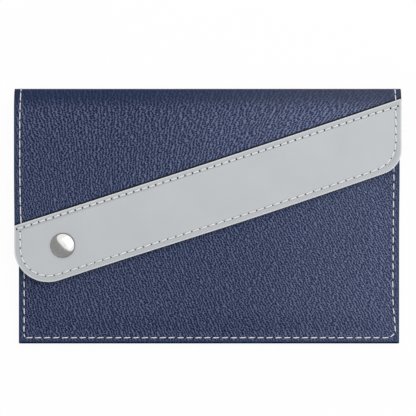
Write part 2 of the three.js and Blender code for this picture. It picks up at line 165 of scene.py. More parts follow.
# Camera and light
CAMERA_HEIGHT = 1433
CAMERA_PLACE = (0.18, 5.1)
LENS = 200
AMBIENT = 0.4
KEY_STRENGTH = 1.38
KEY_EDGE = -240
KEY_CURVE = 3700
KEY_DIRECTION = math.radians(48)
SOFTBOX_HEIGHT = 2000
SOFTBOX_REACH = 3600
LAMP_PLACE = (0.3, 0.24, 1.15)
LAMP_SIZE = 0.7
LAMP_WATTS = 2.92
FLOOR_REACH = 6000
FLOOR_LEVEL = -0.2
FLOOR_GLOW = 0.95
WHITE = (1, 1, 1, 1)

# Finishes, from the colours that they show in plain light
NAVY = linear(13, 29, 73)
NAVY_VALLEY_AND_GROOVE_SHADE = linear(6, 20, 58)
NAVY_RIDGE = linear(105, 113, 138)
NAVY_PRESSED = linear(21, 37, 72)
NAVY_RIM = linear(32, 52, 88)
NAVY_EDGE_AND_BOTTOM_SHADE = linear(0, 20, 54)
NAVY_PAINTED_SHEEN = linear(228, 224, 216)
NAVY_SHADED = linear(16, 18, 30)
GREY = linear(190, 194, 197)
GREY_EDGE = linear(214, 217, 220)
GREY_GROOVE_SHADE = linear(150, 152, 156)
GREY_SHADED = linear(64, 64, 64)
LINING_COLOUR = linear(43, 49, 68)
LINING_RUBBED = linear(70, 76, 96)
BOARD_COLOUR = linear(141, 130, 114)
THREAD_COLOUR = linear(240, 240, 243)
NEEDLE_HOLE = linear(40, 42, 46)
NICKEL = linear(203, 203, 202)
NICKEL_RIM_SHADE = linear(54, 54, 52)
STEEL = linear(154, 154, 156)
FILM = linear(225, 230, 234)
FLOOR = linear(247, 247, 247)

# Slant of the navy leather's grain: at the left, at the right, and the height that it turns about
POCKET_SLANT = (0.3, 0.6, -60.0)
FLAP_SLANT = (0.3, -0.8, 35.0)
STRIP_SLANT = (0.1, 0.1, 0.0)

# Painted sheen of the navy leather, a paler colour that stands in for brighter light towards the right: where
# it starts, and its share at the right
POCKET_PAINTED_SHEEN = (0.0, 0.015)
FLAP_PAINTED_SHEEN = (-70.0, 0.030)


def unit(vectors):
    return vectors / np.linalg.norm(vectors, axis=-1, keepdims=True)


def smooth(share):
    """0 below 0, 1 above 1, and a smooth step between: three times its square less twice its cube."""
    held = np.clip(share, 0, 1)
    return held * held * (3 - 2 * held)


# Cut outlines, each a pair of four corners and their radii


def inset_corners(corners, insets):
    """Corners of a convex outline after each side has moved inwards: side i runs from corner i to the
    next one, and each new corner is where two moved sides cross."""
    corners = np.asarray(corners, float)
    along = unit(np.roll(corners, -1, axis=0) - corners)
    inward = np.stack([-along[:, 1], along[:, 0]], axis=1)
    start = corners + inward * np.reshape(insets, (-1, 1))
    start_before = np.roll(start, 1, axis=0)
    before = np.roll(along, 1, axis=0)
    gap = start - start_before
    cross = before[:, 0] * along[:, 1] - before[:, 1] * along[:, 0]
    reach = (gap[:, 0] * along[:, 1] - gap[:, 1] * along[:, 0]) / cross
    return start_before + before * reach[:, None]


def corner_arcs(corners, radii):
    """Centre, middle angle and half turn of the arc that rounds each corner: the centre lies on the
    bisector, the radius over the sine of half the corner's angle away from it."""
    corners = np.asarray(corners, float)
    radii = np.asarray(radii, float)
    to_before = unit(np.roll(corners, 1, axis=0) - corners)
    to_after = unit(np.roll(corners, -1, axis=0) - corners)
    half = np.arccos(np.sum(to_before * to_after, axis=1)) / 2
    bisector = unit(to_before + to_after)
    centres = corners + bisector * (radii / np.sin(half))[:, None]
    middle = np.arctan2(-bisector[:, 1], -bisector[:, 0])
    return centres, middle, math.pi / 2 - half


CORNER_WEIGHT = 9
ARC_STEPS = 10


def rounded_side(centres, middles, turns, radii, first, second, count):
    """Points from the middle of one rounded corner to the middle of the next: half an arc, a straight
    and half an arc, spread evenly by length plus CORNER_WEIGHT for each radian of turn."""

    def on_arc(corner, angle):
        return centres[corner] + radii[corner] * np.stack([np.cos(angle), np.sin(angle)], axis=-1)

    leave = middles[first] + turns[first]
    arrive = middles[second] - turns[second]
    start = on_arc(first, leave)
    end = on_arc(second, arrive)
    first_cost = (radii[first] + CORNER_WEIGHT) * turns[first]
    straight_cost = np.linalg.norm(end - start)
    second_cost = (radii[second] + CORNER_WEIGHT) * turns[second]
    reach = np.linspace(0, first_cost + straight_cost + second_cost, count)
    one = np.clip(reach / first_cost, 0, 1)
    two = np.clip((reach - first_cost) / straight_cost, 0, 1)
    three = np.clip((reach - first_cost - straight_cost) / second_cost, 0, 1)
    first_arc = on_arc(first, middles[first] + turns[first] * one)
    second_arc = on_arc(second, arrive + turns[second] * three)
    straight = start + (end - start) * two[:, None]
    points = np.where((one < 1)[:, None], first_arc, straight)
    return np.where((three > 0)[:, None], second_arc, points)


def cut_sides(corners, radii, across, along):
    """The four sides of a cut piece, anticlockwise from its lower left corner."""
    arcs = corner_arcs(corners, radii)
    counts = (across, along, across, along)
    return [rounded_side(*arcs, radii, side, (side + 1) % 4, counts[side]) for side in range(4)]


def coons_grid(sides):
    """Points of a patch between four sides: the even blend of bottom and top, plus the even blend of
    left and right, less the even blend of the four corners."""
    bottom, right, top, left = sides[0], sides[1], sides[2][::-1], sides[3][::-1]
    u = np.linspace(0, 1, len(bottom))[None, :, None]
    v = np.linspace(0, 1, len(right))[:, None, None]
    ruled = (1 - v) * bottom[None] + v * top[None] + (1 - u) * left[:, None] + u * right[:, None]
    corners = (1 - v) * ((1 - u) * bottom[0] + u * bottom[-1]) + v * ((1 - u) * top[0] + u * top[-1])
    return ruled - corners


def outline_line(corners, radii):
    """Closed chain of points round a cut piece, with ARC_STEPS points in each corner's arc."""
    centres, middles, turns = corner_arcs(corners, radii)
    angles = middles[:, None] + turns[:, None] * np.linspace(-1, 1, ARC_STEPS)
    circle = np.stack([np.cos(angles), np.sin(angles)], axis=2)
    line = (centres[:, None] + np.reshape(radii, (-1, 1, 1)) * circle).reshape(-1, 2)
    return np.concatenate([line, line[:1]])


def distance_to(line, points):
    """Distance from each point to the nearest straight stretch of a chain of points."""
    start = line[:-1]
    along = line[1:] - start
    offset = points[:, None] - start[None]
    share = np.sum(offset * along, axis=2) / np.maximum(np.sum(along * along, axis=1), 1e-9)
    nearest = offset - np.clip(share, 0, 1)[:, :, None] * along
    return np.sqrt(np.sum(nearest * nearest, axis=2)).min(axis=1)


def rectangle(low, high, radius=0.0):
    """Outline between two opposite corners, anticlockwise from the lower left."""
    corners = [(low[0], low[1]), (high[0], low[1]), (high[0], high[1]), (low[0], high[1])]
    return corners, [radius] * 4


def band_upper(x):
    """The band's upper edge: a straight line that rises to the right by the tangent of BAND_ANGLE."""
    return TOP_EDGE - BAND_DROP + (x - FLAP_LEFT) * math.tan(BAND_ANGLE)


def band_lower(x):
    """The band's lower edge, BAND_WIDTH square to the upper one."""
    return band_upper(x) - BAND_WIDTH / math.cos(BAND_ANGLE)


def slanted(top_right, top_left, radius):
    """Outline whose lower side is the band's lower edge, with the flap's two large corners."""
    low_left = (FLAP_LEFT, band_lower(FLAP_LEFT))
    low_right = (FLAP_RIGHT, band_lower(FLAP_RIGHT))
    corners = [low_left, low_right, (FLAP_RIGHT, top_right), (FLAP_LEFT, top_left)]
    return corners, [STUD_SIDE_CORNER, FAR_SIDE_CORNER, radius, radius]


POCKET_OUTLINE = rectangle((POCKET_LEFT, BOTTOM_EDGE), (POCKET_RIGHT, MOUTH), POCKET_CORNER)
BACK_OUTLINE = (
    rectangle((POCKET_LEFT, BOTTOM_EDGE), (POCKET_RIGHT, MID_SPINE))[0],
    [POCKET_CORNER, POCKET_CORNER, SQUARE_CORNER, SQUARE_CORNER],
)
FLAP_OUTLINE = slanted(MID_SPINE, MID_SPINE, SQUARE_CORNER)
BAND_OUTLINE = slanted(band_upper(FLAP_RIGHT), band_upper(FLAP_LEFT), SMALL_CORNER)
FLAP_EDGE = outline_line(*FLAP_OUTLINE)


# How the plies lie: each lay_ function puts pattern points and depths in space


def rise(distance):
    """Share of the pillow's height at a distance from a sewn edge: 0 over the seam allowance, then a
    quarter sine over the slope, to the power of 1.5 so that its foot is eased."""
    share = np.clip((distance - SEAM_ALLOWANCE) / SLOPE_LENGTH, 0, 1)
    return np.sin(share * math.pi / 2) ** 1.5


def pillow(x, y):
    """0 in the seam and 1 in the flat middle: the rise from the nearer side times the rise from the
    bottom. A smooth step above the mouth brings it to 1, where the sides lie flat again."""
    across = rise(np.minimum(x - POCKET_LEFT, POCKET_RIGHT - x))
    along = rise(y - BOTTOM_EDGE)
    sewn = 1 - smooth((y - MOUTH) / LYING_DOWN)
    return 1 - (1 - across * along) * sewn


def dimple(x, y):
    """1 on the pressed-in floor round the stud and 0 outside it, a smooth step of the distance."""
    distance = np.hypot(x - STUD[0], y - STUD[1])
    return smooth((DIMPLE_REACH - distance) / (DIMPLE_REACH - DIMPLE_FLAT))


def band_bow(x, s):
    """Small rise of the band and the flap under it. With t from 0 at the left to 1 at the right, the
    upper edge rises by 2.64 t squared less 3.1 t, so it sags, and the lower edge by a cosine, so it rises
    towards both ends. Between the edges the two blend evenly, and smooth steps fade them above the band
    and before the fold."""
    t = (x - FLAP_LEFT) / (FLAP_RIGHT - FLAP_LEFT)
    upper = 2.64 * t * t - 3.1 * t
    lower = 0.68 + 0.58 * np.cos(6 * (t - 0.12))
    share = (s - band_lower(x)) * math.cos(BAND_ANGLE) / BAND_WIDTH
    inside = np.clip(share, 0, 1)
    fading = 1 - smooth((share - 1) * BAND_WIDTH / BAND_FADING)
    return (lower + (upper - lower) * inside) * fading * smooth((FOLD_LINE - s) / 3)


def side_bulge(x, y):
    """Small bulge of both side edges of the upper half: it grows evenly with x, and smooth steps start it
    round the middle and end it at the top."""
    starting = smooth((y - BULGE_START) / BULGE_RISE)
    ending = smooth((BULGE_TOP - y) / BULGE_END)
    return SIDE_BULGE * x / FLAP_RIGHT * starting * ending


def round_fold(s, depth):
    """Place and height of leather that lies on its outer face: flat up to the fold's start, then round a
    quarter circle whose radius is less by the depth, then straight up. The angle turned is the length
    past the start over the fold's middle radius."""
    angle = np.clip((s - FOLD_LINE) / FOLD_MIDDLE, 0, math.pi / 2)
    past = np.maximum(s - FOLD_LINE - FOLD_ARC, 0)
    radius = FOLD_RADIUS - depth
    y = np.minimum(s, FOLD_LINE) + radius * np.sin(angle)
    return y, FOLD_RADIUS - radius * np.cos(angle) + past


def lay_back(x, s, depth):
    """Back of the holder: depth is measured inwards from the leather's outer face, which lies at height 0
    in the middle, is lifted in the seams, and turns up into the spine over a quarter circle. Above the
    mouth a smooth step widens it from the pocket's width to the flap's."""
    y, height = round_fold(s, depth)
    lift = (1 - pillow(x, s)) * SEAM_LIFT
    widening = smooth((s - MOUTH) / (LYING_DOWN / 3))
    widened = np.interp(x, [POCKET_LEFT, POCKET_RIGHT], [FLAP_LEFT, FLAP_RIGHT])
    return np.stack([x + (widened - x) * widening + side_bulge(x, y), y, height + lift], axis=1)


def lay_flap(x, s, depth):
    """Flap: depth is measured inwards from the leather's outer face, which lies at FLAP_TOP and turns
    down into the spine over a quarter circle."""
    y, below = round_fold(s + band_bow(x, s), depth)
    return np.stack([x + side_bulge(x, y), y, FLAP_TOP - below], axis=1)


def lay_front(x, y, depth):
    """Front of the pocket: depth is measured downwards from the leather's outer face, a pillow between
    the seams that blends to a flat floor by the dimple's share."""
    pillowed = SEAM_TOP + (FRONT_TOP - SEAM_TOP) * pillow(x, y)
    floor = FRONT_TOP - DIMPLE_DEPTH
    height = pillowed + (floor - pillowed) * dimple(x, y)
    return np.stack([x + side_bulge(x, y), y, height - depth], axis=1)


def lay_band(x, y, depth):
    """Band: flat at BAND_TOP less the depth, bowed and bulged as the flap under it is."""
    y = y + band_bow(x, y)
    return np.stack([x + side_bulge(x, y), y, np.full_like(x, BAND_TOP) - depth], axis=1)


def lining_depth(on_board):
    """Depth of a lining's outer face: against the leather at a share of 0, against the board at 1."""
    return BESIDE_LEATHER + (BESIDE_BOARD - BESIDE_LEATHER) * on_board


def board_end(s):
    """1 where a board lies along the leather, and 0 from the fold's start: a smooth step between."""
    return smooth((FOLD_LINE - 0.5 - s) / (BOARD_INSET - 1))


def lay_back_lining(x, s, depth):
    """The lining lies on the board in the flat middle, and on the leather in the seams and the fold: the
    pillow's share times the board's."""
    return lay_back(x, s, lining_depth(pillow(x, s) * board_end(s)) + depth)


def lay_front_lining(x, y, depth):
    """The lining lies under the board in the flat middle, and under the leather in the seams."""
    return lay_front(x, y, lining_depth(pillow(x, y)) + depth)


def lay_flap_lining(x, s, depth):
    """The lining lies under the board, and comes up to the leather at the cut edge and in the fold: a
    smooth step of the distance from the edge times the board's."""
    inside = distance_to(FLAP_EDGE, np.stack([x, s], axis=1))
    under_board = smooth((inside - 1.2) / (BOARD_INSET - 1.7)) * board_end(s)
    return lay_flap(x, s, lining_depth(under_board) + depth)


def lay_below_flap(x, s, depth):
    """Thread on the flap's lining: depth is measured upwards from the lining's lower face."""
    points = lay_flap_lining(x, s, np.full_like(x, LINING))
    points[:, 2] += depth
    return points


def flat_at(top):
    """A flat lie, with depth measured downwards from a height."""
    return lambda x, y, depth: np.stack([x, y, np.full_like(x, top) - depth], axis=1)


def inward(lay, thickness):
    """A lie seen from inside the holder, so that a ply's first face is its inner one."""
    return lambda x, s, depth: lay(x, s, thickness - depth)


def pressed_in(lay, by):
    """The same lie, for thread that the holder's weight presses into the leather."""
    return lambda x, s, depth: lay(x, s, depth + by)


# Distances that the materials read, from pattern points


def fold_distance(pattern):
    """Length of leather from the nearer end of the fold, 0 over the fold and the spine."""
    return np.maximum(FOLD_LINE - pattern[:, 1], 0)


def band_distance(pattern):
    """Distance above the band's upper edge, and negative under the band."""
    return (pattern[:, 1] - band_upper(pattern[:, 0])) * math.cos(BAND_ANGLE)


def cap_distance(pattern):
    """Distance outside the cap's rim."""
    return np.hypot(pattern[:, 0] - STUD[0], pattern[:, 1] - STUD[1]) - CAP_RADIUS


# Meshes

FACE_STRIP = 0.25
EXTRA_CELLS = 12
LEAST_RADIUS = 0.02
JOINED_SHARE = 0.1
DRILL_REACH = 20
DRILL_SIDES = 40


def mesh_piece(name, points, faces, material, pattern=None, values=None):
    """A smooth mesh from points in millimetres, with its pattern points as the UV map called pattern."""
    mesh = bpy.data.meshes.new(name)
    mesh.from_pydata((np.asarray(points) * MM).tolist(), [], faces)
    mesh.polygons.foreach_set("use_smooth", np.ones(len(mesh.polygons), bool))
    if pattern is not None:
        corners = np.empty(len(mesh.loops), np.int32)
        mesh.loops.foreach_get("vertex_index", corners)
        layer = mesh.uv_layers.new(name="pattern")
        layer.data.foreach_set("uv", np.asarray(pattern, np.float32)[corners].ravel())
    for key, numbers in (values or {}).items():
        attribute = mesh.attributes.new(key, "FLOAT", "POINT")
        attribute.data.foreach_set("value", np.asarray(numbers, np.float32))
    mesh.materials.append(material)
    mesh.update()
    piece = bpy.data.objects.new(name, mesh)
    bpy.context.scene.collection.objects.link(piece)
    return piece


def edge_profile(thickness, rounding):
    """Inset and depth round a cut edge: flat face, quarter circle, straight, quarter circle, flat face."""
    angle = np.linspace(0, math.pi / 2, 4)
    quarter_in = rounding * (1 - np.sin(angle))
    quarter_down = rounding * (1 - np.cos(angle))
    face_inset = [rounding + FACE_STRIP]
    insets = np.concatenate([face_inset, quarter_in, quarter_in[::-1], face_inset])
    depths = np.concatenate([[0], quarter_down, thickness - quarter_down[::-1], [thickness]])
    return insets, depths


def grid_faces(rows, columns, first, turned_over):
    """Four-cornered faces between the points of a grid that starts at index first."""
    corner = first + np.arange(rows - 1)[:, None] * columns + np.arange(columns - 1)[None, :]
    faces = np.stack([corner, corner + 1, corner + columns + 1, corner + columns], axis=-1).reshape(-1, 4)
    return faces[:, ::-1] if turned_over else faces


def grid_border(rows, columns):
    """Indices round a grid, anticlockwise from its first point."""
    bottom = np.arange(columns - 1)
    right = (np.arange(rows - 1) + 1) * columns - 1
    top = rows * columns - 1 - np.arange(columns - 1)
    left = (rows - 1 - np.arange(rows - 1)) * columns
    return np.concatenate([bottom, right, top, left])


def open_cut(cut, top):
    """The cut line of a piece whose upper side meets the next leather: it runs up both sides to the top
    and leaves the upper side out."""
    cut = np.roll(cut[:-1], -len(cut) // 4 * 3, axis=0)
    cut = cut[cut[:, 1] < top - SMALL_CORNER]
    return np.concatenate([[[cut[0][0], top]], cut, [[cut[-1][0], top]]])


def ply(name, outline, thickness, lay, material, spacing=2.0, rounding=0.3, joined=False, values=None):
    """A piece cut from flat stock. Both faces are Coons patches over the outline drawn in by the rounding,
    and rings of points carry the rounded cut edge from one face to the other. lay puts a pattern point
    and its depth in space. joined leaves the upper side square, where it meets the next leather."""
    corners, radii = (np.asarray(part, float) for part in outline)
    columns, rows = (np.ptp(corners, axis=0) / spacing).astype(int) + EXTRA_CELLS
    side_share = np.array([1, 1, JOINED_SHARE if joined else 1, 1])
    insets, depths = edge_profile(thickness, rounding)
    rings = []
    for inset in insets:
        moved = inset_corners(corners, inset * side_share)
        rings.append(cut_sides(moved, np.maximum(radii - inset, LEAST_RADIUS), columns, rows))
    face = coons_grid(rings[0]).reshape(-1, 2)
    border = grid_border(rows, columns)
    loops = [np.concatenate([side[:-1] for side in sides]) for sides in rings[1:-1]]
    pattern = np.concatenate([face, *loops, face])
    depth = np.repeat(depths, [len(face), *map(len, loops), len(face)])
    last = len(face) + len(loops) * len(border)
    middle_rings = [start + np.arange(len(border)) for start in range(len(face), last, len(border))]
    chain = [border, *middle_rings, last + border]
    walls = [
        np.stack([upper, lower, np.roll(lower, -1), np.roll(upper, -1)], axis=1)
        for upper, lower in zip(chain[:-1], chain[1:])
    ]
    upper_face = grid_faces(rows, columns, 0, False)
    lower_face = grid_faces(rows, columns, last, True)
    faces = np.concatenate([upper_face, *walls, lower_face]).tolist()
    cut = outline_line(corners, radii)
    if joined:
        cut = open_cut(cut, corners[:, 1].max())
    measures = {"rim": distance_to(cut, pattern)}
    for key, rule in (values or {}).items():
        measures[key] = rule(pattern)
    points = lay(pattern[:, 0], pattern[:, 1], depth)
    return mesh_piece(name, points, faces, material, pattern, measures)


def turned(name, profile, material, steps=72, softened=0.06):
    """A turned piece: radii and heights carried round the stud's axis. A profile that starts and ends on
    the axis is closed there by a pole, and one that doesn't is a closed loop."""
    profile = np.asarray(profile, float)
    on_axis = profile[0, 0] < 1e-9
    body = profile[1:-1] if on_axis else profile
    angle = np.arange(steps) * 2 * math.pi / steps
    circle = np.stack([np.cos(angle), np.sin(angle)], axis=1)
    flat = body[:, None, :1] * circle[None] + STUD
    height = np.broadcast_to(body[:, None, 1:], (*flat.shape[:2], 1))
    points = np.concatenate([flat, height], axis=2).reshape(-1, 3)
    ring = np.arange(len(body))[:, None] * steps + np.arange(steps)
    after = np.roll(ring, -1, axis=1)
    levels = list(range(len(body)))
    levels_after = levels[1:] if on_axis else [*levels[1:], 0]
    faces = []
    for low, high in zip(levels, levels_after):
        faces.extend(np.stack([ring[low], after[low], after[high], ring[high]], axis=1).tolist())
    if on_axis:
        poles = np.array([[*STUD, profile[0, 1]], [*STUD, profile[-1, 1]]])
        points = np.concatenate([points, poles])
        first, last = len(points) - 2, len(points) - 1
        faces.extend(np.stack([after[0], ring[0], np.full(steps, first)], axis=1).tolist())
        faces.extend(np.stack([ring[-1], after[-1], np.full(steps, last)], axis=1).tolist())
    piece = mesh_piece(name, points, faces, material)
    if softened:
        bevel = piece.modifiers.new("softened edges", "BEVEL")
        bevel.width = softened * MM
        bevel.segments = 2
        bevel.limit_method = "ANGLE"
        bevel.angle_limit = math.radians(35)
        bevel.harden_normals = True
    return piece


def pierce(piece, radius):
    """Cuts a round hole through a piece at the stud, with a drill that reaches past it both ways."""
    profile = [[0, -DRILL_REACH], [radius, -DRILL_REACH], [radius, DRILL_REACH], [0, DRILL_REACH]]
    drill = turned("drill", profile, piece.data.materials[0], steps=DRILL_SIDES, softened=0)
    cut = piece.modifiers.new("hole", "BOOLEAN")
    cut.operation = "DIFFERENCE"
    cut.object = drill
    depsgraph = bpy.context.evaluated_depsgraph_get()
    mesh = bpy.data.meshes.new_from_object(piece.evaluated_get(depsgraph))
    piece.modifiers.clear()
    piece.data = mesh
    bpy.data.objects.remove(drill)


# Stitches

STITCH_RINGS = 7
STITCH_SIDES = 6
HOLE_SIDES = 8


def stations(path, pitch):
    """Middles, directions, lengths and ends of the stitches of one row along a chain of points."""
    path = np.asarray(path, float)
    reach = np.concatenate([[0], np.cumsum(np.linalg.norm(np.diff(path, axis=0), axis=1))])
    count = max(round(reach[-1] / pitch), 1)
    marks = np.linspace(0, reach[-1], count + 1)
    ends = np.stack([np.interp(marks, reach, path[:, axis]) for axis in (0, 1)], axis=1)
    along = ends[1:] - ends[:-1]
    return (ends[1:] + ends[:-1]) / 2, unit(along), np.linalg.norm(along, axis=1), ends


def beads(name, points, count, rings, sides, material, pattern=None, turned_over=False):
    """Many closed beads as one piece: each is a few rings of points, with a flat face at both ends. Beads
    on an underside are turned over, so that their faces look outwards."""
    ring = np.arange(rings)[:, None] * sides + np.arange(sides)
    after = np.roll(ring, -1, axis=1)
    shell = np.stack([ring[:-1], after[:-1], after[1:], ring[1:]], axis=-1).reshape(-1, 4)
    first = np.arange(count)[:, None] * rings * sides
    faces = (shell[None] + first[:, None]).reshape(-1, 4).tolist()
    faces += (ring[0][::-1] + first).tolist()
    faces += (ring[-1] + first).tolist()
    if turned_over:
        faces = [face[::-1] for face in faces]
    return mesh_piece(name, points, faces, material, pattern)


def stitches(name, rows, lay, material, share=0.86, lean=0.0, width=THREAD_WIDTH, height=THREAD_HEIGHT,
             turned_over=False):
    """Rows of stitches as one piece. Each stitch is a closed grain of thread: its thickness follows the
    square root of 1 - t^4 from end to end, its line is an arch, 0.9 less 1.5 t^6, that dips into the
    leather at both ends, and lean turns it a little off its row. UV runs along and round the thread, for
    its twist."""
    middles, along, lengths, _ends = (np.concatenate(part) for part in zip(*rows))
    cosine, sine = math.cos(lean), math.sin(lean)
    leaning = (along[:, 0] * cosine - along[:, 1] * sine, along[:, 0] * sine + along[:, 1] * cosine)
    along = np.stack(leaning, axis=1)
    across = np.stack([-along[:, 1], along[:, 0]], axis=1)
    t = np.linspace(-0.96, 0.96, STITCH_RINGS)
    fat = (1 - t**4) ** 0.5
    around = np.arange(STITCH_SIDES) * 2 * math.pi / STITCH_SIDES
    ahead = np.broadcast_to(t[:, None], (STITCH_RINGS, STITCH_SIDES))
    sideways = fat[:, None] * np.cos(around) * width / 2
    lift = (0.9 - 1.5 * t**6)[:, None] * height / 2 + fat[:, None] * np.sin(around) * height / 2
    reach = (lengths * share / 2)[:, None, None]
    forward = along[:, None, None] * (ahead * reach)[..., None]
    aside = across[:, None, None] * sideways[None, ..., None]
    flat = (middles[:, None, None] + forward + aside).reshape(-1, 2)
    depth = np.broadcast_to(-lift, (len(middles), *lift.shape)).ravel()
    points = lay(flat[:, 0], flat[:, 1], depth)
    twist_along = (ahead[None] * reach + lengths[:, None, None]).ravel()
    twist_around = np.broadcast_to(around / (2 * math.pi), (len(middles), *ahead.shape)).ravel()
    twist = np.stack([twist_along, twist_around], axis=1)
    return beads(name, points, len(middles), STITCH_RINGS, STITCH_SIDES, material, twist, turned_over)


def needle_holes(name, rows, lay, material, radius=NEEDLE):
    """A dark, shallow bead of shadow in each needle hole: a flat dome of eight sides."""
    ends = np.concatenate([row[3] for row in rows])
    around = np.arange(HOLE_SIDES) * 2 * math.pi / HOLE_SIDES
    circle = np.stack([np.cos(around), np.sin(around)], axis=1)
    rings = np.array([[1.0, -0.03], [0.8, 0.02], [0.3, 0.035]])
    flat = ends[:, None, None] + rings[None, :, None, :1] * circle[None, None] * radius
    depth = np.broadcast_to(-rings[None, :, None, 1], flat.shape[:3])
    points = lay(flat[..., 0].ravel(), flat[..., 1].ravel(), depth.ravel())
    return beads(name, points, len(ends), len(rings), HOLE_SIDES, material)


# Shader parts


class Graph:
    """A node tree with short ways to add to it. A value is a constant, or a socket to link."""

    def __init__(self, tree):
        self.tree = tree

    def put(self, socket, value):
        if isinstance(value, bpy.types.NodeSocket):
            self.tree.links.new(value, socket)
        else:
            socket.default_value = value

    def node(self, kind, inputs=None, **settings):
        """Outputs of a new node with its settings and inputs."""
        made = self.tree.nodes.new(kind)
        made.location = (len(self.tree.nodes) * 180 - 1600, 0)
        for name, value in settings.items():
            setattr(made, name, value)
        for name, value in (inputs or {}).items():
            self.put(made.inputs[name], value)
        return made.outputs

    def maths(self, operation, first, second=0.0):
        return self.node("ShaderNodeMath", {0: first, 1: second}, operation=operation)[0]

    def plus(self, first, second):
        return self.maths("ADD", first, second)

    def minus(self, first, second):
        return self.maths("SUBTRACT", first, second)

    def times(self, first, second):
        return self.maths("MULTIPLY", first, second)

    def over(self, first, second):
        return self.maths("DIVIDE", first, second)

    def vector(self, operation, first, second):
        return self.node("ShaderNodeVectorMath", {0: first, 1: second}, operation=operation)

    def split(self, vector):
        return self.node("ShaderNodeSeparateXYZ", {0: vector})

    def noise(self, place, scale, detail=2.0, **settings):
        """Value and colour of a noise."""
        inputs = {"Vector": place, "Scale": scale, "Detail": detail}
        return self.node("ShaderNodeTexNoise", inputs, **settings)

    def ramp(self, value, low, high, start=0.0, end=1.0):
        """Value from low to high, eased, as start to end."""
        inputs = {"Value": value, 1: low, 2: high, 3: start, 4: end}
        return self.node("ShaderNodeMapRange", inputs, interpolation_type="SMOOTHSTEP")[0]

    def mix(self, share, first, second, blend="MIX"):
        """Colour from first to second."""
        inputs = {0: share, 6: first, 7: second}
        return self.node("ShaderNodeMix", inputs, data_type="RGBA", blend_type=blend)[2]

    def shade(self, colour, by):
        return self.mix(1.0, colour, by, "MULTIPLY")

    def use(self, key, **inputs):
        """Outputs of a shared group."""
        labelled = {label.replace("_", " "): value for label, value in inputs.items()}
        return self.node("ShaderNodeGroup", labelled, node_tree=GROUPS[key])

    def pattern(self):
        return self.node("ShaderNodeUVMap", uv_map="pattern")[0]

    def place(self):
        return self.node("ShaderNodeTexCoord")["Object"]

    def measured(self, name):
        return self.node("ShaderNodeAttribute", attribute_name=name)["Fac"]

    def looked_at(self):
        """1 for what the camera, gloss or clear film sees, 0 for light that only lands."""
        path = self.node("ShaderNodeLightPath")
        seen = self.maths("MAXIMUM", path["Is Camera Ray"], path["Is Glossy Ray"])
        return self.maths("MAXIMUM", seen, path["Is Transmission Ray"])


class Finish(Graph):
    """A material with one Principled shader, whose sockets take constants and links by name."""

    def __init__(self, name, **values):
        self.material = bpy.data.materials.new(name)
        self.material.use_nodes = True
        super().__init__(self.material.node_tree)
        self.shader = self.tree.nodes["Principled BSDF"]
        self.surface = self.tree.nodes["Material Output"].inputs["Surface"]
        self.give(**values)

    def give(self, **values):
        for label, value in values.items():
            self.put(self.shader.inputs[label.replace("_", " ")], value)

    def bump(self, height, distance):
        """Height of 0 to 1 as relief of a distance in millimetres."""
        inputs = {"Height": height, "Distance": distance * MM, "Strength": 1.0}
        self.give(Normal=self.node("ShaderNodeBump", inputs)[0])


def group(name, inputs, outputs):
    """An empty node group. Inputs are names with their defaults, and None stands for a vector. Outputs
    are names of numbers."""
    graph = Graph(bpy.data.node_groups.new(name, "ShaderNodeTree"))
    for label, default in inputs.items():
        kind = "NodeSocketVector" if default is None else "NodeSocketFloat"
        socket = graph.tree.interface.new_socket(label, in_out="INPUT", socket_type=kind)
        if default is not None:
            socket.default_value = default
    for label in outputs:
        graph.tree.interface.new_socket(label, in_out="OUTPUT", socket_type="NodeSocketFloat")
    given = graph.tree.nodes.new("NodeGroupInput").outputs
    return graph, given, graph.tree.nodes.new("NodeGroupOutput").inputs


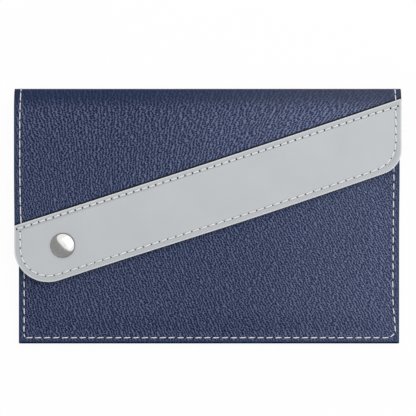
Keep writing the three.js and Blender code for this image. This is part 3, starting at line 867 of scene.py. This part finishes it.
def build_grain():
    """Embossed grain: small bent pits with a net of ridges between them. The pattern is sheared by a slant
    that changes from the left to the right, its rows are tilted a little, and it is squeezed to the pits'
    spacing. Each pit is an ellipse round the point of its own cell: u over its half width and v over its
    half length, squared and added. The crests run where that sum is largest."""
    inputs = {
        "Pattern": None,
        "Slant Left": 0.4,
        "Slant Right": 0.8,
        "Middle": 0.0,
        "Width": 1.85,
        "Length": 1.2,
    }
    graph, given, result = group("leather grain", inputs, ["Height", "Ridge", "Valley"])
    x, y, _z = graph.split(given["Pattern"])
    span = {"Value": x, 1: -119.0, 2: 119.0, 3: given["Slant Left"], 4: given["Slant Right"]}
    slant = graph.node("ShaderNodeMapRange", span)[0]
    sheared = graph.plus(x, graph.times(slant, graph.minus(y, given["Middle"])))
    tilted = graph.minus(y, graph.times(x, 0.15))
    spaced = {0: graph.over(sheared, given["Width"]), 1: graph.over(tilted, given["Length"])}
    flat = graph.node("ShaderNodeCombineXYZ", spaced)[0]
    bend = graph.noise(flat, 0.3, noise_dimensions="2D")["Color"]
    push = graph.vector("SUBTRACT", bend, (0.5, 0.5, 0.5))[0]
    pushed = graph.node("ShaderNodeVectorMath", {0: push, 3: 1.5}, operation="SCALE")[0]
    curved = graph.vector("ADD", flat, pushed)[0]
    cells = {"Vector": curved, "Scale": 1.0, "Randomness": 0.47}
    cell = graph.node("ShaderNodeTexVoronoi", cells, voronoi_dimensions="2D")
    apart = graph.split(graph.vector("SUBTRACT", curved, cell["Position"])[0])
    bending = graph.times(graph.times(apart[1], apart[1]), 0.8)
    across = graph.over(graph.minus(apart[0], bending), 0.26)
    along = graph.over(apart[1], 0.34)
    squared = graph.plus(graph.times(across, across), graph.times(along, along))
    pit = graph.ramp(squared, 1.3, 0.3)
    crest = graph.ramp(squared, 0.8, 2.4)
    broken = graph.noise(curved, 2.8, 0.0, noise_dimensions="2D")[0]
    above = graph.times(graph.maths("ABSOLUTE", apart[1]), 0.5)
    beside = graph.minus(graph.maths("ABSOLUTE", apart[0]), above)
    lengthwise = graph.ramp(beside, 0.0, 0.3, 0.55, 1.0)
    crested = graph.times(lengthwise, graph.ramp(broken, 0.36, 0.64, 0.3, 1.0))
    ridge = graph.times(crest, crested)
    land = graph.minus(1.0, pit)
    graph.put(result["Height"], graph.plus(graph.times(land, 0.6), graph.times(ridge, 0.4)))
    graph.put(result["Ridge"], ridge)
    graph.put(result["Valley"], pit)
    return graph.tree


def build_groove():
    """1 in the line of a row of stitches at a distance from the cut edge, easing to 0 beside it."""
    graph, given, result = group("stitch groove", {"Rim": 0.0, "Inset": 3.3, "Width": 1.2}, ["Groove"])
    away = graph.maths("ABSOLUTE", graph.minus(given["Rim"], given["Inset"]))
    graph.put(result["Groove"], graph.ramp(away, given["Width"], 0.0))
    return graph.tree


def build_weave():
    """Plain weave from two crossed sines, each thread over and under the next."""
    graph, given, result = group("weave", {"Pattern": None, "Pitch": 0.5}, ["Height"])
    x, y, _z = graph.split(given["Pattern"])
    turn = graph.over(2 * math.pi, given["Pitch"])
    warp = graph.maths("SINE", graph.times(x, turn))
    weft = graph.maths("SINE", graph.times(y, turn))
    graph.put(result["Height"], graph.plus(graph.times(graph.times(warp, weft), 0.5), 0.5))
    return graph.tree


def build_handling():
    """Soft, cloudy marks of handling: broad noise with a little fine noise in it."""
    graph, given, result = group("handling marks", {"Pattern": None, "Size": 40.0}, ["Value"])
    graph.put(result["Value"], graph.noise(given["Pattern"], graph.over(1.0, given["Size"]), 4.0)[0])
    return graph.tree


GROUPS = {
    "grain": build_grain(),
    "groove": build_groove(),
    "weave": build_weave(),
    "handling": build_handling(),
}


# Materials


def navy_leather(name, slant, row_inset, painted_sheen=None, near_band=False, folds=False):
    """Navy leather: a net of light ridges round darker pits, smooth over the folds and darker there with
    painted shade where the leather turns, with a pressed line along the stitches darkened by painted
    shade, and painted cut edges. Painted shade also lies in a line along the bottom edge and, on the
    flap, along the band's upper edge, and a faint painted sheen grows paler towards the right."""
    leather = Finish(name, Specular_IOR_Level=0.18, Specular_Tint=(0.78, 0.88, 1.0, 1.0))
    pattern = leather.pattern()
    rim = leather.measured("rim")
    left, right, middle = slant
    grain = leather.use("grain", Pattern=pattern, Slant_Left=left, Slant_Right=right, Middle=middle)
    cloud = leather.use("handling", Pattern=pattern, Size=38.0)["Value"]
    groove = leather.use("groove", Rim=rim, Inset=row_inset, Width=1.1)["Groove"]
    x, y, _z = leather.split(pattern)
    plain = leather.mix(grain["Valley"], NAVY, NAVY_VALLEY_AND_GROOVE_SHADE)
    grained = leather.mix(grain["Ridge"], plain, NAVY_RIDGE)
    grained = leather.shade(grained, leather.ramp(cloud, 0.3, 0.7, 0.97, 1.03))
    # Painted sheen: the colour is made lighter towards the right, standing in for brighter light there.
    if painted_sheen:
        start, share = painted_sheen
        towards_right = leather.ramp(x, start, 110.0)
        grained = leather.shade(grained, leather.plus(leather.times(towards_right, 16 * share), 1.0))
    pressed = leather.ramp(rim, 2.6, 1.2, 0.0, 0.7)
    colour = leather.mix(pressed, grained, NAVY_RIM)
    if folds:
        fold = leather.measured("fold")
        smoothed = leather.times(leather.ramp(fold, 9.5, 0.8), 0.8)
        colour = leather.mix(smoothed, colour, NAVY_PRESSED)
        # Painted shade: darker where the leather turns over the fold.
        colour = leather.shade(colour, leather.ramp(fold, 16.0, 5.0, 1.0, 0.88))
        pressed = leather.maths("MAXIMUM", pressed, smoothed)
    # Painted shade in the pressed line along the stitches.
    colour = leather.mix(leather.times(groove, 0.35), colour, NAVY_VALLEY_AND_GROOVE_SHADE)
    colour = leather.mix(leather.ramp(rim, 0.5, 0.15), colour, NAVY_EDGE_AND_BOTTOM_SHADE)
    # Painted sheen: a pale colour mixed in towards the right.
    if painted_sheen:
        colour = leather.mix(leather.times(towards_right, share), colour, NAVY_PAINTED_SHEEN)
    # Painted shade: a dark line along the bottom edge only, where its rounding faces away from the light.
    foot = leather.ramp(y, BOTTOM_EDGE + 1.35, BOTTOM_EDGE + 0.9)
    colour = leather.mix(foot, colour, NAVY_EDGE_AND_BOTTOM_SHADE)
    # Painted shade along the band's upper edge, in the crease between band and leather.
    if near_band:
        colour = leather.mix(leather.ramp(leather.measured("band_gap"), 1.5, 0.7), colour, NAVY_SHADED)
    relief = leather.times(grain["Height"], leather.minus(1.0, pressed))
    leather.bump(leather.minus(relief, groove), 0.22)
    dull = leather.plus(leather.times(cloud, 0.14), 0.46)
    roughness = leather.minus(dull, leather.times(grain["Ridge"], 0.18))
    cut = leather.maths("MAXIMUM", foot, leather.ramp(rim, 0.7, 0.4))
    roughness = leather.maths("MAXIMUM", roughness, leather.times(cut, 0.85))
    leather.give(Base_Color=colour, Roughness=roughness)
    return leather.material


def grey_leather():
    """Smooth pale grey leather with a lighter cut edge, a line drawn in by the stitches and darkened there
    with painted shade, and a thin ring of painted shade under the cap's rim."""
    leather = Finish("grey leather", Roughness=0.5, Specular_IOR_Level=0.35)
    pattern = leather.pattern()
    rim = leather.measured("rim")
    cloud = leather.use("handling", Pattern=pattern, Size=30.0)["Value"]
    pores = leather.use("handling", Pattern=pattern, Size=0.9)["Value"]
    groove = leather.use("groove", Rim=rim, Inset=BAND_ROW, Width=1.3)["Groove"]
    marks = leather.plus(cloud, leather.times(pores, 0.4))
    colour = leather.shade(GREY, leather.ramp(marks, 0.4, 1.0, 0.97, 1.03))
    colour = leather.shade(colour, leather.ramp(rim, 5.0, 3.2, 1.0, 0.93))
    # Painted shade in the line that the stitches draw in.
    colour = leather.mix(leather.times(groove, 0.3), colour, GREY_GROOVE_SHADE)
    colour = leather.mix(leather.ramp(rim, 0.9, 0.5), colour, GREY_EDGE)
    # Painted shade: a thin dark ring on the band under the cap's rim.
    ring = leather.ramp(leather.measured("cap_gap"), 0.25, 0.0, 0.0, 0.5)
    leather.give(Base_Color=leather.mix(ring, colour, GREY_SHADED))
    leather.bump(leather.minus(leather.times(pores, 0.12), groove), 0.2)
    return leather.material


def lining_cloth():
    """Plain woven cloth, a little rubbed in clouds."""
    cloth = Finish("lining cloth", Roughness=0.9, Sheen_Weight=0.25)
    pattern = cloth.pattern()
    weave = cloth.use("weave", Pattern=pattern, Pitch=0.7)["Height"]
    cloud = cloth.use("handling", Pattern=pattern, Size=25.0)["Value"]
    colour = cloth.shade(LINING_COLOUR, cloth.ramp(weave, 0.0, 1.0, 0.8, 1.15))
    cloth.give(Base_Color=cloth.mix(cloth.ramp(cloud, 0.35, 0.75, 0.0, 0.18), colour, LINING_RUBBED))
    cloth.bump(weave, 0.08)
    return cloth.material


def pressed_board():
    """Raw board with short fibres."""
    board = Finish("pressed board", Roughness=0.95)
    fibres = board.noise(board.place(), 900.0, 3.0)[0]
    board.give(Base_Color=board.shade(BOARD_COLOUR, board.ramp(fibres, 0.3, 0.7, 0.85, 1.12)))
    board.bump(fibres, 0.05)
    return board.material


def twisted_thread():
    """Two-ply thread: stripes that wind round it, light on the plies, with painted shade in the grooves
    between them.
    """
    thread = Finish("twisted thread", Roughness=0.6)
    along, around, _z = thread.split(thread.pattern())
    wound = thread.plus(thread.times(along, 1.3), thread.times(around, 2.0))
    plies = thread.maths("ABSOLUTE", thread.maths("SINE", thread.times(wound, math.pi)))
    # Painted shade between the plies.
    thread.give(Base_Color=thread.shade(THREAD_COLOUR, thread.ramp(plies, 0.0, 0.6, 0.72, 1.0)))
    thread.bump(plies, 0.08)
    return thread.material


def needle_hole():
    """Dusty shadow in a needle hole."""
    hole = Finish("needle hole", Roughness=0.95, Specular_IOR_Level=0.1)
    dust = hole.noise(hole.place(), 4000.0)[0]
    hole.give(Base_Color=hole.shade(NEEDLE_HOLE, hole.ramp(dust, 0.3, 0.7, 0.6, 1.2)))
    return hole.material


def plated_metal(name, colour, roughness, rim_radius=None):
    """Plated metal with faint polishing marks; a cap also has painted shade that darkens its rim."""
    metal = Finish(name, Metallic=1.0)
    place = metal.place()
    marks = metal.noise(place, 700.0, 5.0)[0]
    surface = metal.shade(colour, metal.ramp(marks, 0.3, 0.7, 0.96, 1.04))
    if rim_radius:
        offset = metal.vector("SUBTRACT", place, (STUD[0] * MM, STUD[1] * MM, 0.0))[0]
        level = metal.vector("MULTIPLY", offset, (1, 1, 0))[0]
        radius = metal.node("ShaderNodeVectorMath", {0: level}, operation="LENGTH")["Value"]
        # Painted shade: the cap's rim is darkened towards its edge.
        rim_shade = metal.ramp(radius, (rim_radius - 0.75) * MM, (rim_radius - 0.1) * MM, 0.0, 0.8)
        surface = metal.mix(rim_shade, surface, NICKEL_RIM_SHADE)
    polish = metal.ramp(marks, 0.2, 0.8, roughness * 0.8, roughness * 1.2)
    metal.give(Base_Color=surface, Roughness=polish)
    return metal.material


def clear_film():
    """Thin clear sheet with a few faint scuffs."""
    film = Finish("clear film", Alpha=0.22)
    scuffs = film.noise(film.place(), 120.0, 6.0)[0]
    colour = film.shade(FILM, film.ramp(scuffs, 0.3, 0.8, 0.9, 1.0))
    film.give(Base_Color=colour, Roughness=film.ramp(scuffs, 0.4, 0.8, 0.05, 0.3))
    film.bump(scuffs, 0.15)
    return film.material


def settle(piece, carrier, slot, *nodes):
    """The piece has its laid place baked in where it lies over a fold, or else rides on its body, and the
    solids that it stands for are hidden. The slot is not used."""
    if carrier == "back fold":
        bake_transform(piece)
    elif carrier == "flap fold":
        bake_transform(piece)
    else:
        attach(piece, carrier)
    if nodes:
        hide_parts(*nodes)


# Pieces

# Spacing and rounding of the plies that are thinner than the leather
CLOTH_MESH = {"spacing": 2.6, "rounding": 0.1}
FILM_MESH = {"spacing": 4, "rounding": 0.08}
STRIP_MESH = {"spacing": 1.5, "rounding": 0.1}
SLOT_MESH = {"spacing": 3, "rounding": 0.1}


def make_back(leather, cloth):
    """Back and spine in one leather, lined inside. The lies are seen from inside, so that faces look out."""
    lay = inward(lay_back, LEATHER)
    fold = {"fold": fold_distance}
    shell = ply("back_leather", BACK_OUTLINE, LEATHER, lay, leather, joined=True, values=fold)
    settle(shell, "back fold", "navy_leather", "back_panel", "back_fold", "spine_panel")
    lay = inward(lay_back_lining, LINING)
    inside = ply("back_lining_cloth", BACK_OUTLINE, LINING, lay, cloth, joined=True, **CLOTH_MESH)
    settle(inside, "back fold", "lining", "back_lining", "spine_lining")


def make_front(leather, cloth):
    """Front of the pocket in leather and lining, with a hole for the stud's eyelet."""
    shell = ply("front_leather", POCKET_OUTLINE, LEATHER, lay_front, leather)
    pierce(shell, EYELET_HOLE)
    settle(shell, "pocket", "navy_leather", "front_panel")
    inside = ply("front_lining_cloth", POCKET_OUTLINE, LINING, lay_front_lining, cloth, **CLOTH_MESH)
    pierce(inside, EYELET_HOLE)
    settle(inside, "pocket", "lining", "front_lining")


def make_flap(leather, cloth, grey):
    """Flap in leather and lining with the grey band on it, with holes for the cap's post and the socket."""
    distances = {"fold": fold_distance, "band_gap": band_distance}
    shell = ply("flap_leather", FLAP_OUTLINE, LEATHER, lay_flap, leather, joined=True, values=distances)
    pierce(shell, CAP_POST_HOLE)
    settle(shell, "flap fold", "navy_leather", "flap_panel", "flap_fold")
    inside = ply("flap_lining_cloth", FLAP_OUTLINE, LINING, lay_flap_lining, cloth, joined=True, **CLOTH_MESH)
    pierce(inside, SOCKET_HOLE)
    settle(inside, "flap fold", "lining", "flap_lining")
    gap = {"cap_gap": cap_distance}
    band = ply("grey_band", BAND_OUTLINE, LEATHER, lay_band, grey, spacing=1.6, values=gap)
    pierce(band, CAP_POST_HOLE)
    settle(band, "flap", "grey_leather", "flap_band")


def pocket_path():
    """Row round the pocket: down the left, out to the corner, along the bottom, in at the other corner
    and up the right, where it wanders a little."""
    left = POCKET_LEFT + POCKET_ROW
    right = POCKET_RIGHT - POCKET_ROW
    bottom = BOTTOM_EDGE + POCKET_ROW + 0.3
    top = MOUTH - 1.2
    return [
        (left, top),
        (left, bottom + 3.1),
        (left - POCKET_TACK, bottom + 0.6),
        (left - POCKET_TACK + 0.5, bottom),
        (right - 0.3, bottom),
        (right + 0.5, bottom + 0.8),
        (right + 1.0, bottom + 4),
        (right + 0.7, bottom + 9),
        (right - 0.3, bottom + 17),
        (right - 0.7, bottom + 28),
        (right - 0.5, bottom + 42),
        (right - 0.2, top),
    ]


def make_pocket_stitches(thread, hole):
    """The row round the pocket's three sides, seen from the front and from behind."""
    rows = [stations(pocket_path(), POCKET_PITCH)]
    top = stitches("pocket_stitches", rows, lay_front, thread, share=0.8, lean=POCKET_LEAN)
    settle(top, "pocket", "white_thread", "pocket_thread")
    settle(needle_holes("pocket_needle_holes", rows, lay_front, hole), "pocket", "white_thread")
    behind = {"share": 0.78, "lean": POCKET_LEAN, "turned_over": True}
    under = stitches("pocket_stitches_behind", rows, lay_back, thread, **behind)
    settle(under, "pocket", "white_thread", "pocket_thread_under")


def make_mouth_stitches(thread, hole):
    """A straight row under the pocket's mouth."""
    y = MOUTH - MOUTH_ROW
    ends = [(POCKET_LEFT + MOUTH_ROW_END, y), (POCKET_RIGHT - MOUTH_ROW_END, y)]
    rows = [stations(ends, MOUTH_PITCH)]
    top = stitches("mouth_stitches", rows, lay_front, thread, share=0.74)
    settle(top, "pocket", "white_thread", "mouth_thread")
    settle(needle_holes("mouth_needle_holes", rows, lay_front, hole), "pocket", "white_thread")


def make_side_stitches(thread, hole):
    """Rows up both sides of the back above the pocket, over the spine and down the flap to the band."""
    back_rows = [
        stations([(x, MOUTH + 1), (x, MID_SPINE)], FLAP_PITCH)
        for x in (POCKET_LEFT + POCKET_ROW, POCKET_RIGHT - POCKET_ROW)
    ]
    pressed = pressed_in(lay_back, by=0.2)
    behind = stitches("back_side_stitches", back_rows, pressed, thread, share=0.78, turned_over=True)
    settle(behind, "back fold", "white_thread")
    left = FLAP_LEFT + FLAP_ROW
    right = FLAP_RIGHT - FLAP_ROW
    left_path = [
        (left + 0.3, MID_SPINE),
        (left + 0.3, TOP_EDGE),
        (left - 0.2, 60),
        (left - 0.2, 30),
        (left, 5),
        (left + 0.4, band_upper(left) - 0.5),
    ]
    right_path = [(right, MID_SPINE), (right + 0.3, band_upper(right) - 0.3)]
    flap_rows = [stations(left_path, FLAP_PITCH), stations(right_path, RIGHT_FLAP_PITCH)]
    rows = stitches("flap_side_stitches", flap_rows, lay_flap, thread, share=0.97)
    settle(rows, "flap fold", "white_thread", "flap_side_thread")
    holes = needle_holes("flap_side_needle_holes", flap_rows, lay_flap, hole, FLAP_NEEDLE)
    settle(holes, "flap fold", "white_thread")


def make_band_stitches(thread, hole):
    """A row along the upper edge, whose inset wanders a little, and one from its left end round the lower
    edge to its right."""
    corners = inset_corners(BAND_OUTLINE[0], [BAND_ROW + 0.15, BAND_ROW, BAND_ROW, BAND_ROW])
    radii = [STUD_SIDE_CORNER - BAND_ROW, FAR_SIDE_CORNER + 2, SQUARE_CORNER, SQUARE_CORNER]
    round_corners = outline_line(corners, radii)[: 2 * ARC_STEPS]
    lower = np.concatenate([[corners[3] + (0, -1)], round_corners, [corners[2] + (0, -2)]])
    upper = [(x, band_upper(x) - inset / math.cos(BAND_ANGLE)) for x, inset in UPPER_BAND_ROW]
    rows = [stations(upper, BAND_PITCH), stations(lower, LOWER_BAND_PITCH)]
    top = stitches("band_stitches", rows, lay_band, thread, share=0.92, lean=BAND_LEAN, width=0.95)
    settle(top, "flap", "white_thread", "band_thread")
    for edge, row, radius in zip(("upper", "lower"), rows, (BAND_NEEDLE, LOWER_BAND_NEEDLE)):
        holes = needle_holes(f"band_{edge}_needle_holes", [row], lay_band, hole, radius)
        settle(holes, "flap", "white_thread")
    below = {"share": 0.8, "height": 0.3, "turned_over": True}
    under = stitches("band_stitches_below", rows, lay_below_flap, thread, **below)
    settle(under, "flap", "white_thread", "band_thread_under")


# Press stud: each profile gives radii and heights above the bottom of its solid


def cap_profile(radius, height):
    """Clenched post, flat underside, short upright rim and a dome that is a quarter ellipse."""
    under = BAND_TOP + PLY_GAP - cap_low[2]
    rim = under + 0.5
    angle = np.linspace(0, math.pi / 2, 26)
    dome = np.stack([radius * np.cos(angle), rim + (height - rim) * np.sin(angle)], axis=1)
    post = [[0, 0], [2.6, 0], [2.9, 0.12], [2.9, 0.25], [2.1, 0.25], [2.1, under]]
    return [*post, [radius - 0.5, under], [radius - 0.15, under + 0.15], *dome.tolist()]


def socket_profile(radius, height):
    """Open barrel under a wide plate."""
    plate = height - 0.4
    barrel = [[3.1, 0], [4.6, 0], [4.8, 0.2], [4.8, plate]]
    return [*barrel, [radius, plate], [radius, height], [2.25, height], [2.25, plate], [3.1, plate]]


def spring_profile(radius, height):
    """Round wire: a circle as wide as it is high."""
    wire = height / 2
    turn = np.linspace(0, 2 * math.pi, 12, endpoint=False)
    return np.stack([radius - wire + wire * np.cos(turn), wire + wire * np.sin(turn)], axis=1)


def stud_profile(radius, height):
    """Hollow head with a waist, on a plate with a rounded rim."""
    plate = [[radius - 0.2, 0], [radius, 0.2], [radius, 0.5], [radius - 0.2, 0.7]]
    bore = [[0, height - 0.4], [1.75, height - 0.4], [1.75, 0]]
    head = [[2.1, 0.7], [2.1, 1.2], [2.45, 1.45], [2.45, height - 0.45], [2.1, height], [0, height]]
    return [*bore, *plate, *head]


def eyelet_profile(radius, height):
    """Post that fills the stud's bore, on a thin plate."""
    plate = [[0, 0], [radius - 0.25, 0], [radius, 0.2], [radius, 0.5]]
    return [*plate, [1.6, 0.5], [1.6, height], [0, height]]


def make_press_stud(nickel, dull, steel):
    """Cap with its clenched post, socket and ring spring on the flap, stud and eyelet on the pocket."""
    sharp = {"softened": 0}
    parts = [
        ("stud_cap", cap_profile, nickel, {"steps": 96, **sharp}, "flap", "nickel", "snap_cap"),
        ("stud_socket", socket_profile, dull, {}, "flap", "nickel", "snap_socket"),
        ("stud_spring", spring_profile, steel, sharp, "flap", "spring_steel", "snap_spring"),
        ("stud_post", stud_profile, dull, {}, "pocket", "nickel", "snap_stud"),
        ("stud_eyelet", eyelet_profile, dull, {}, "pocket", "nickel", "stud_rivet"),
    ]
    for name, profile, material, options, body, slot, node in parts:
        low, high = box_of(node)
        line = np.array(profile((high[0] - low[0]) / 2, high[2] - low[2])) + (0, low[2])
        settle(turned(name, line, material, **options), body, slot, node)


def make_window(film, leather, thread):
    """Clear film held on three sides by sewn leather strips."""
    low, high = box_of("window_sheet")
    outline = rectangle(low, high, WINDOW_CORNER)
    sheet = ply("window_film", outline, high[2] - low[2], flat_at(high[2]), film, **FILM_MESH)
    settle(sheet, "pocket", "clear_sheet", "window_sheet")
    low, high = box_of("window_frame")
    lay = flat_at(high[2])
    above = low[1] + WINDOW_BORDER + PLY_GAP
    spans = {
        "window_strip_left": ((low[0], above), (low[0] + WINDOW_BORDER, high[1])),
        "window_strip_right": ((high[0] - WINDOW_BORDER, above), (high[0], high[1])),
        "window_strip_bottom": ((low[0], low[1]), (high[0], low[1] + WINDOW_BORDER)),
    }
    for name, (least, most) in spans.items():
        outline = rectangle(least, most, STRIP_CORNER)
        strip = ply(name, outline, high[2] - low[2], lay, leather, **STRIP_MESH)
        settle(strip, "pocket", "navy_leather")
    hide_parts("window_frame")
    left, right = low[0] + WINDOW_ROW, high[0] - WINDOW_ROW
    bottom, top = low[1] + WINDOW_ROW, high[1] - 1
    rows = [stations([(left, top), (left, bottom), (right, bottom), (right, top)], WINDOW_PITCH)]
    sewn = stitches("window_stitches", rows, lay, thread, share=0.75, width=0.5, height=0.25)
    settle(sewn, "pocket", "white_thread")


def make_card_slots(cloth, thread):
    """Three stepped slots, each with a row of stitches under its mouth."""
    for slot in ("card_slot_1", "card_slot_2", "card_slot_3"):
        low, high = box_of(slot)
        lay = flat_at(high[2])
        outline = rectangle(low, high, SLOT_CORNER)
        piece = ply(f"{slot}_cloth", outline, high[2] - low[2], lay, cloth, **SLOT_MESH)
        settle(piece, "pocket", "lining", slot)
        y = high[1] - SLOT_ROW
        rows = [stations([(low[0] + 1, y), (high[0] - 1, y)], SLOT_PITCH)]
        sewn = stitches(f"{slot}_stitches", rows, lay, thread, share=0.75, width=0.45, height=0.2)
        settle(sewn, "pocket", "white_thread")


# Stage


def stage_plane(name, corners, material):
    """A flat face of the stage, from the chain of its corners."""
    mesh_piece(name, corners, [list(range(len(corners)))], material)


def floor_material():
    """Pale floor: a part of it takes the light and the object's shadow, and the rest shows as plain white
    to the camera and in reflections."""
    floor = Finish("pale floor", Base_Color=FLOOR, Roughness=0.95, Specular_IOR_Level=0.0)
    white = floor.node("ShaderNodeEmission", {"Color": WHITE, "Strength": 1.0})[0]
    share = floor.times(floor.looked_at(), FLOOR_GLOW)
    lit = floor.shader.outputs[0]
    floor.put(floor.surface, floor.node("ShaderNodeMixShader", {0: share, 1: lit, 2: white})[0])
    return floor.material


def glowing(name, strength):
    """Even glow of a softbox or a card."""
    glow = Finish(name)
    glow.tree.nodes.remove(glow.shader)
    shine = glow.node("ShaderNodeEmission", {"Color": WHITE, "Strength": strength})[0]
    glow.put(glow.surface, shine)
    return glow.material


def make_stage():
    """Floor, and overhead a bright softbox with a dimmer card beside it. The edge between them is an arc
    of radius KEY_CURVE, whose middle lies KEY_EDGE along KEY_DIRECTION from the holder's middle."""
    square, _radii = rectangle((-FLOOR_REACH, -FLOOR_REACH), (FLOOR_REACH, FLOOR_REACH))
    stage_plane("floor", [(*corner, FLOOR_LEVEL) for corner in square], floor_material())
    ahead = np.array([math.cos(KEY_DIRECTION), math.sin(KEY_DIRECTION)])
    sideways = np.array([-ahead[1], ahead[0]])
    aside = np.linspace(-SOFTBOX_REACH, SOFTBOX_REACH, 25)
    bowed = KEY_EDGE + KEY_CURVE - np.sqrt(KEY_CURVE**2 - aside**2)

    def edge(forward):
        return ahead * np.reshape(forward, (-1, 1)) + sideways * aside[:, None]

    def strip(first, second):
        return [(*point, SOFTBOX_HEIGHT) for point in (*first.tolist(), *second[::-1].tolist())]

    stage_plane("key_softbox", strip(edge(bowed), edge(SOFTBOX_REACH)), glowing("key light", KEY_STRENGTH))
    stage_plane("fill_card", strip(edge(-SOFTBOX_REACH), edge(bowed)), glowing("fill light", AMBIENT))


def make_world():
    """Plain surrounding light, and white where the camera, gloss or clear film looks past the floor."""
    world = bpy.data.worlds.new("studio")
    bpy.context.scene.world = world
    world.use_nodes = True
    world.node_tree.nodes.clear()
    graph = Graph(world.node_tree)
    strength = graph.ramp(graph.looked_at(), 0.0, 1.0, AMBIENT, 1.0)
    light = graph.node("ShaderNodeBackground", {"Color": WHITE, "Strength": strength})[0]
    graph.node("ShaderNodeOutputWorld", {"Surface": light})


def make_lamp():
    """A square lamp that faces the middle of the holder."""
    data = bpy.data.lights.new("top_lamp", "AREA")
    data.size = LAMP_SIZE
    data.energy = LAMP_WATTS
    lamp = bpy.data.objects.new("top_lamp", data)
    lamp.location = LAMP_PLACE
    x, y, height = LAMP_PLACE
    lamp.rotation_euler = (math.atan2(math.hypot(x, y), height), 0, math.atan2(y, x) + math.pi / 2)
    bpy.context.scene.collection.objects.link(lamp)


def make_camera():
    """A long lens straight above the holder."""
    data = bpy.data.cameras.new("camera")
    data.lens = LENS
    data.clip_end = 20
    camera = bpy.data.objects.new("camera", data)
    camera.location = (CAMERA_PLACE[0] * MM, CAMERA_PLACE[1] * MM, CAMERA_HEIGHT * MM)
    bpy.context.scene.collection.objects.link(camera)
    bpy.context.scene.camera = camera


def main():
    bpy.context.scene.view_settings.view_transform = "Standard"
    make_camera()
    make_world()
    make_stage()
    make_lamp()
    pocket_leather = navy_leather("navy pocket leather", POCKET_SLANT, POCKET_ROW, painted_sheen=POCKET_PAINTED_SHEEN)
    back_leather = navy_leather("navy back leather", POCKET_SLANT, POCKET_ROW, folds=True)
    flap_parts = {"painted_sheen": FLAP_PAINTED_SHEEN, "near_band": True, "folds": True}
    flap_leather = navy_leather("navy flap leather", FLAP_SLANT, FLAP_ROW, **flap_parts)
    strip_leather = navy_leather("navy strip leather", STRIP_SLANT, WINDOW_ROW)
    cloth = lining_cloth()
    thread = twisted_thread()
    hole = needle_hole()
    nickel = plated_metal("polished nickel", NICKEL, roughness=0.12, rim_radius=CAP_RADIUS)
    dull = plated_metal("nickel plate", NICKEL, roughness=0.3)
    steel = plated_metal("spring wire", STEEL, roughness=0.35)
    make_back(back_leather, cloth)
    make_front(pocket_leather, cloth)
    make_flap(flap_leather, cloth, grey_leather())
    make_pocket_stitches(thread, hole)
    make_mouth_stitches(thread, hole)
    make_side_stitches(thread, hole)
    make_band_stitches(thread, hole)
    make_press_stud(nickel, dull, steel)
    make_window(clear_film(), strip_leather, thread)
    make_card_slots(cloth, thread)
    board = pressed_board()
    for node in ("back_board", "front_board", "flap_board"):
        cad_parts[node].data.materials.clear()
        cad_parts[node].data.materials.append(board)


main()
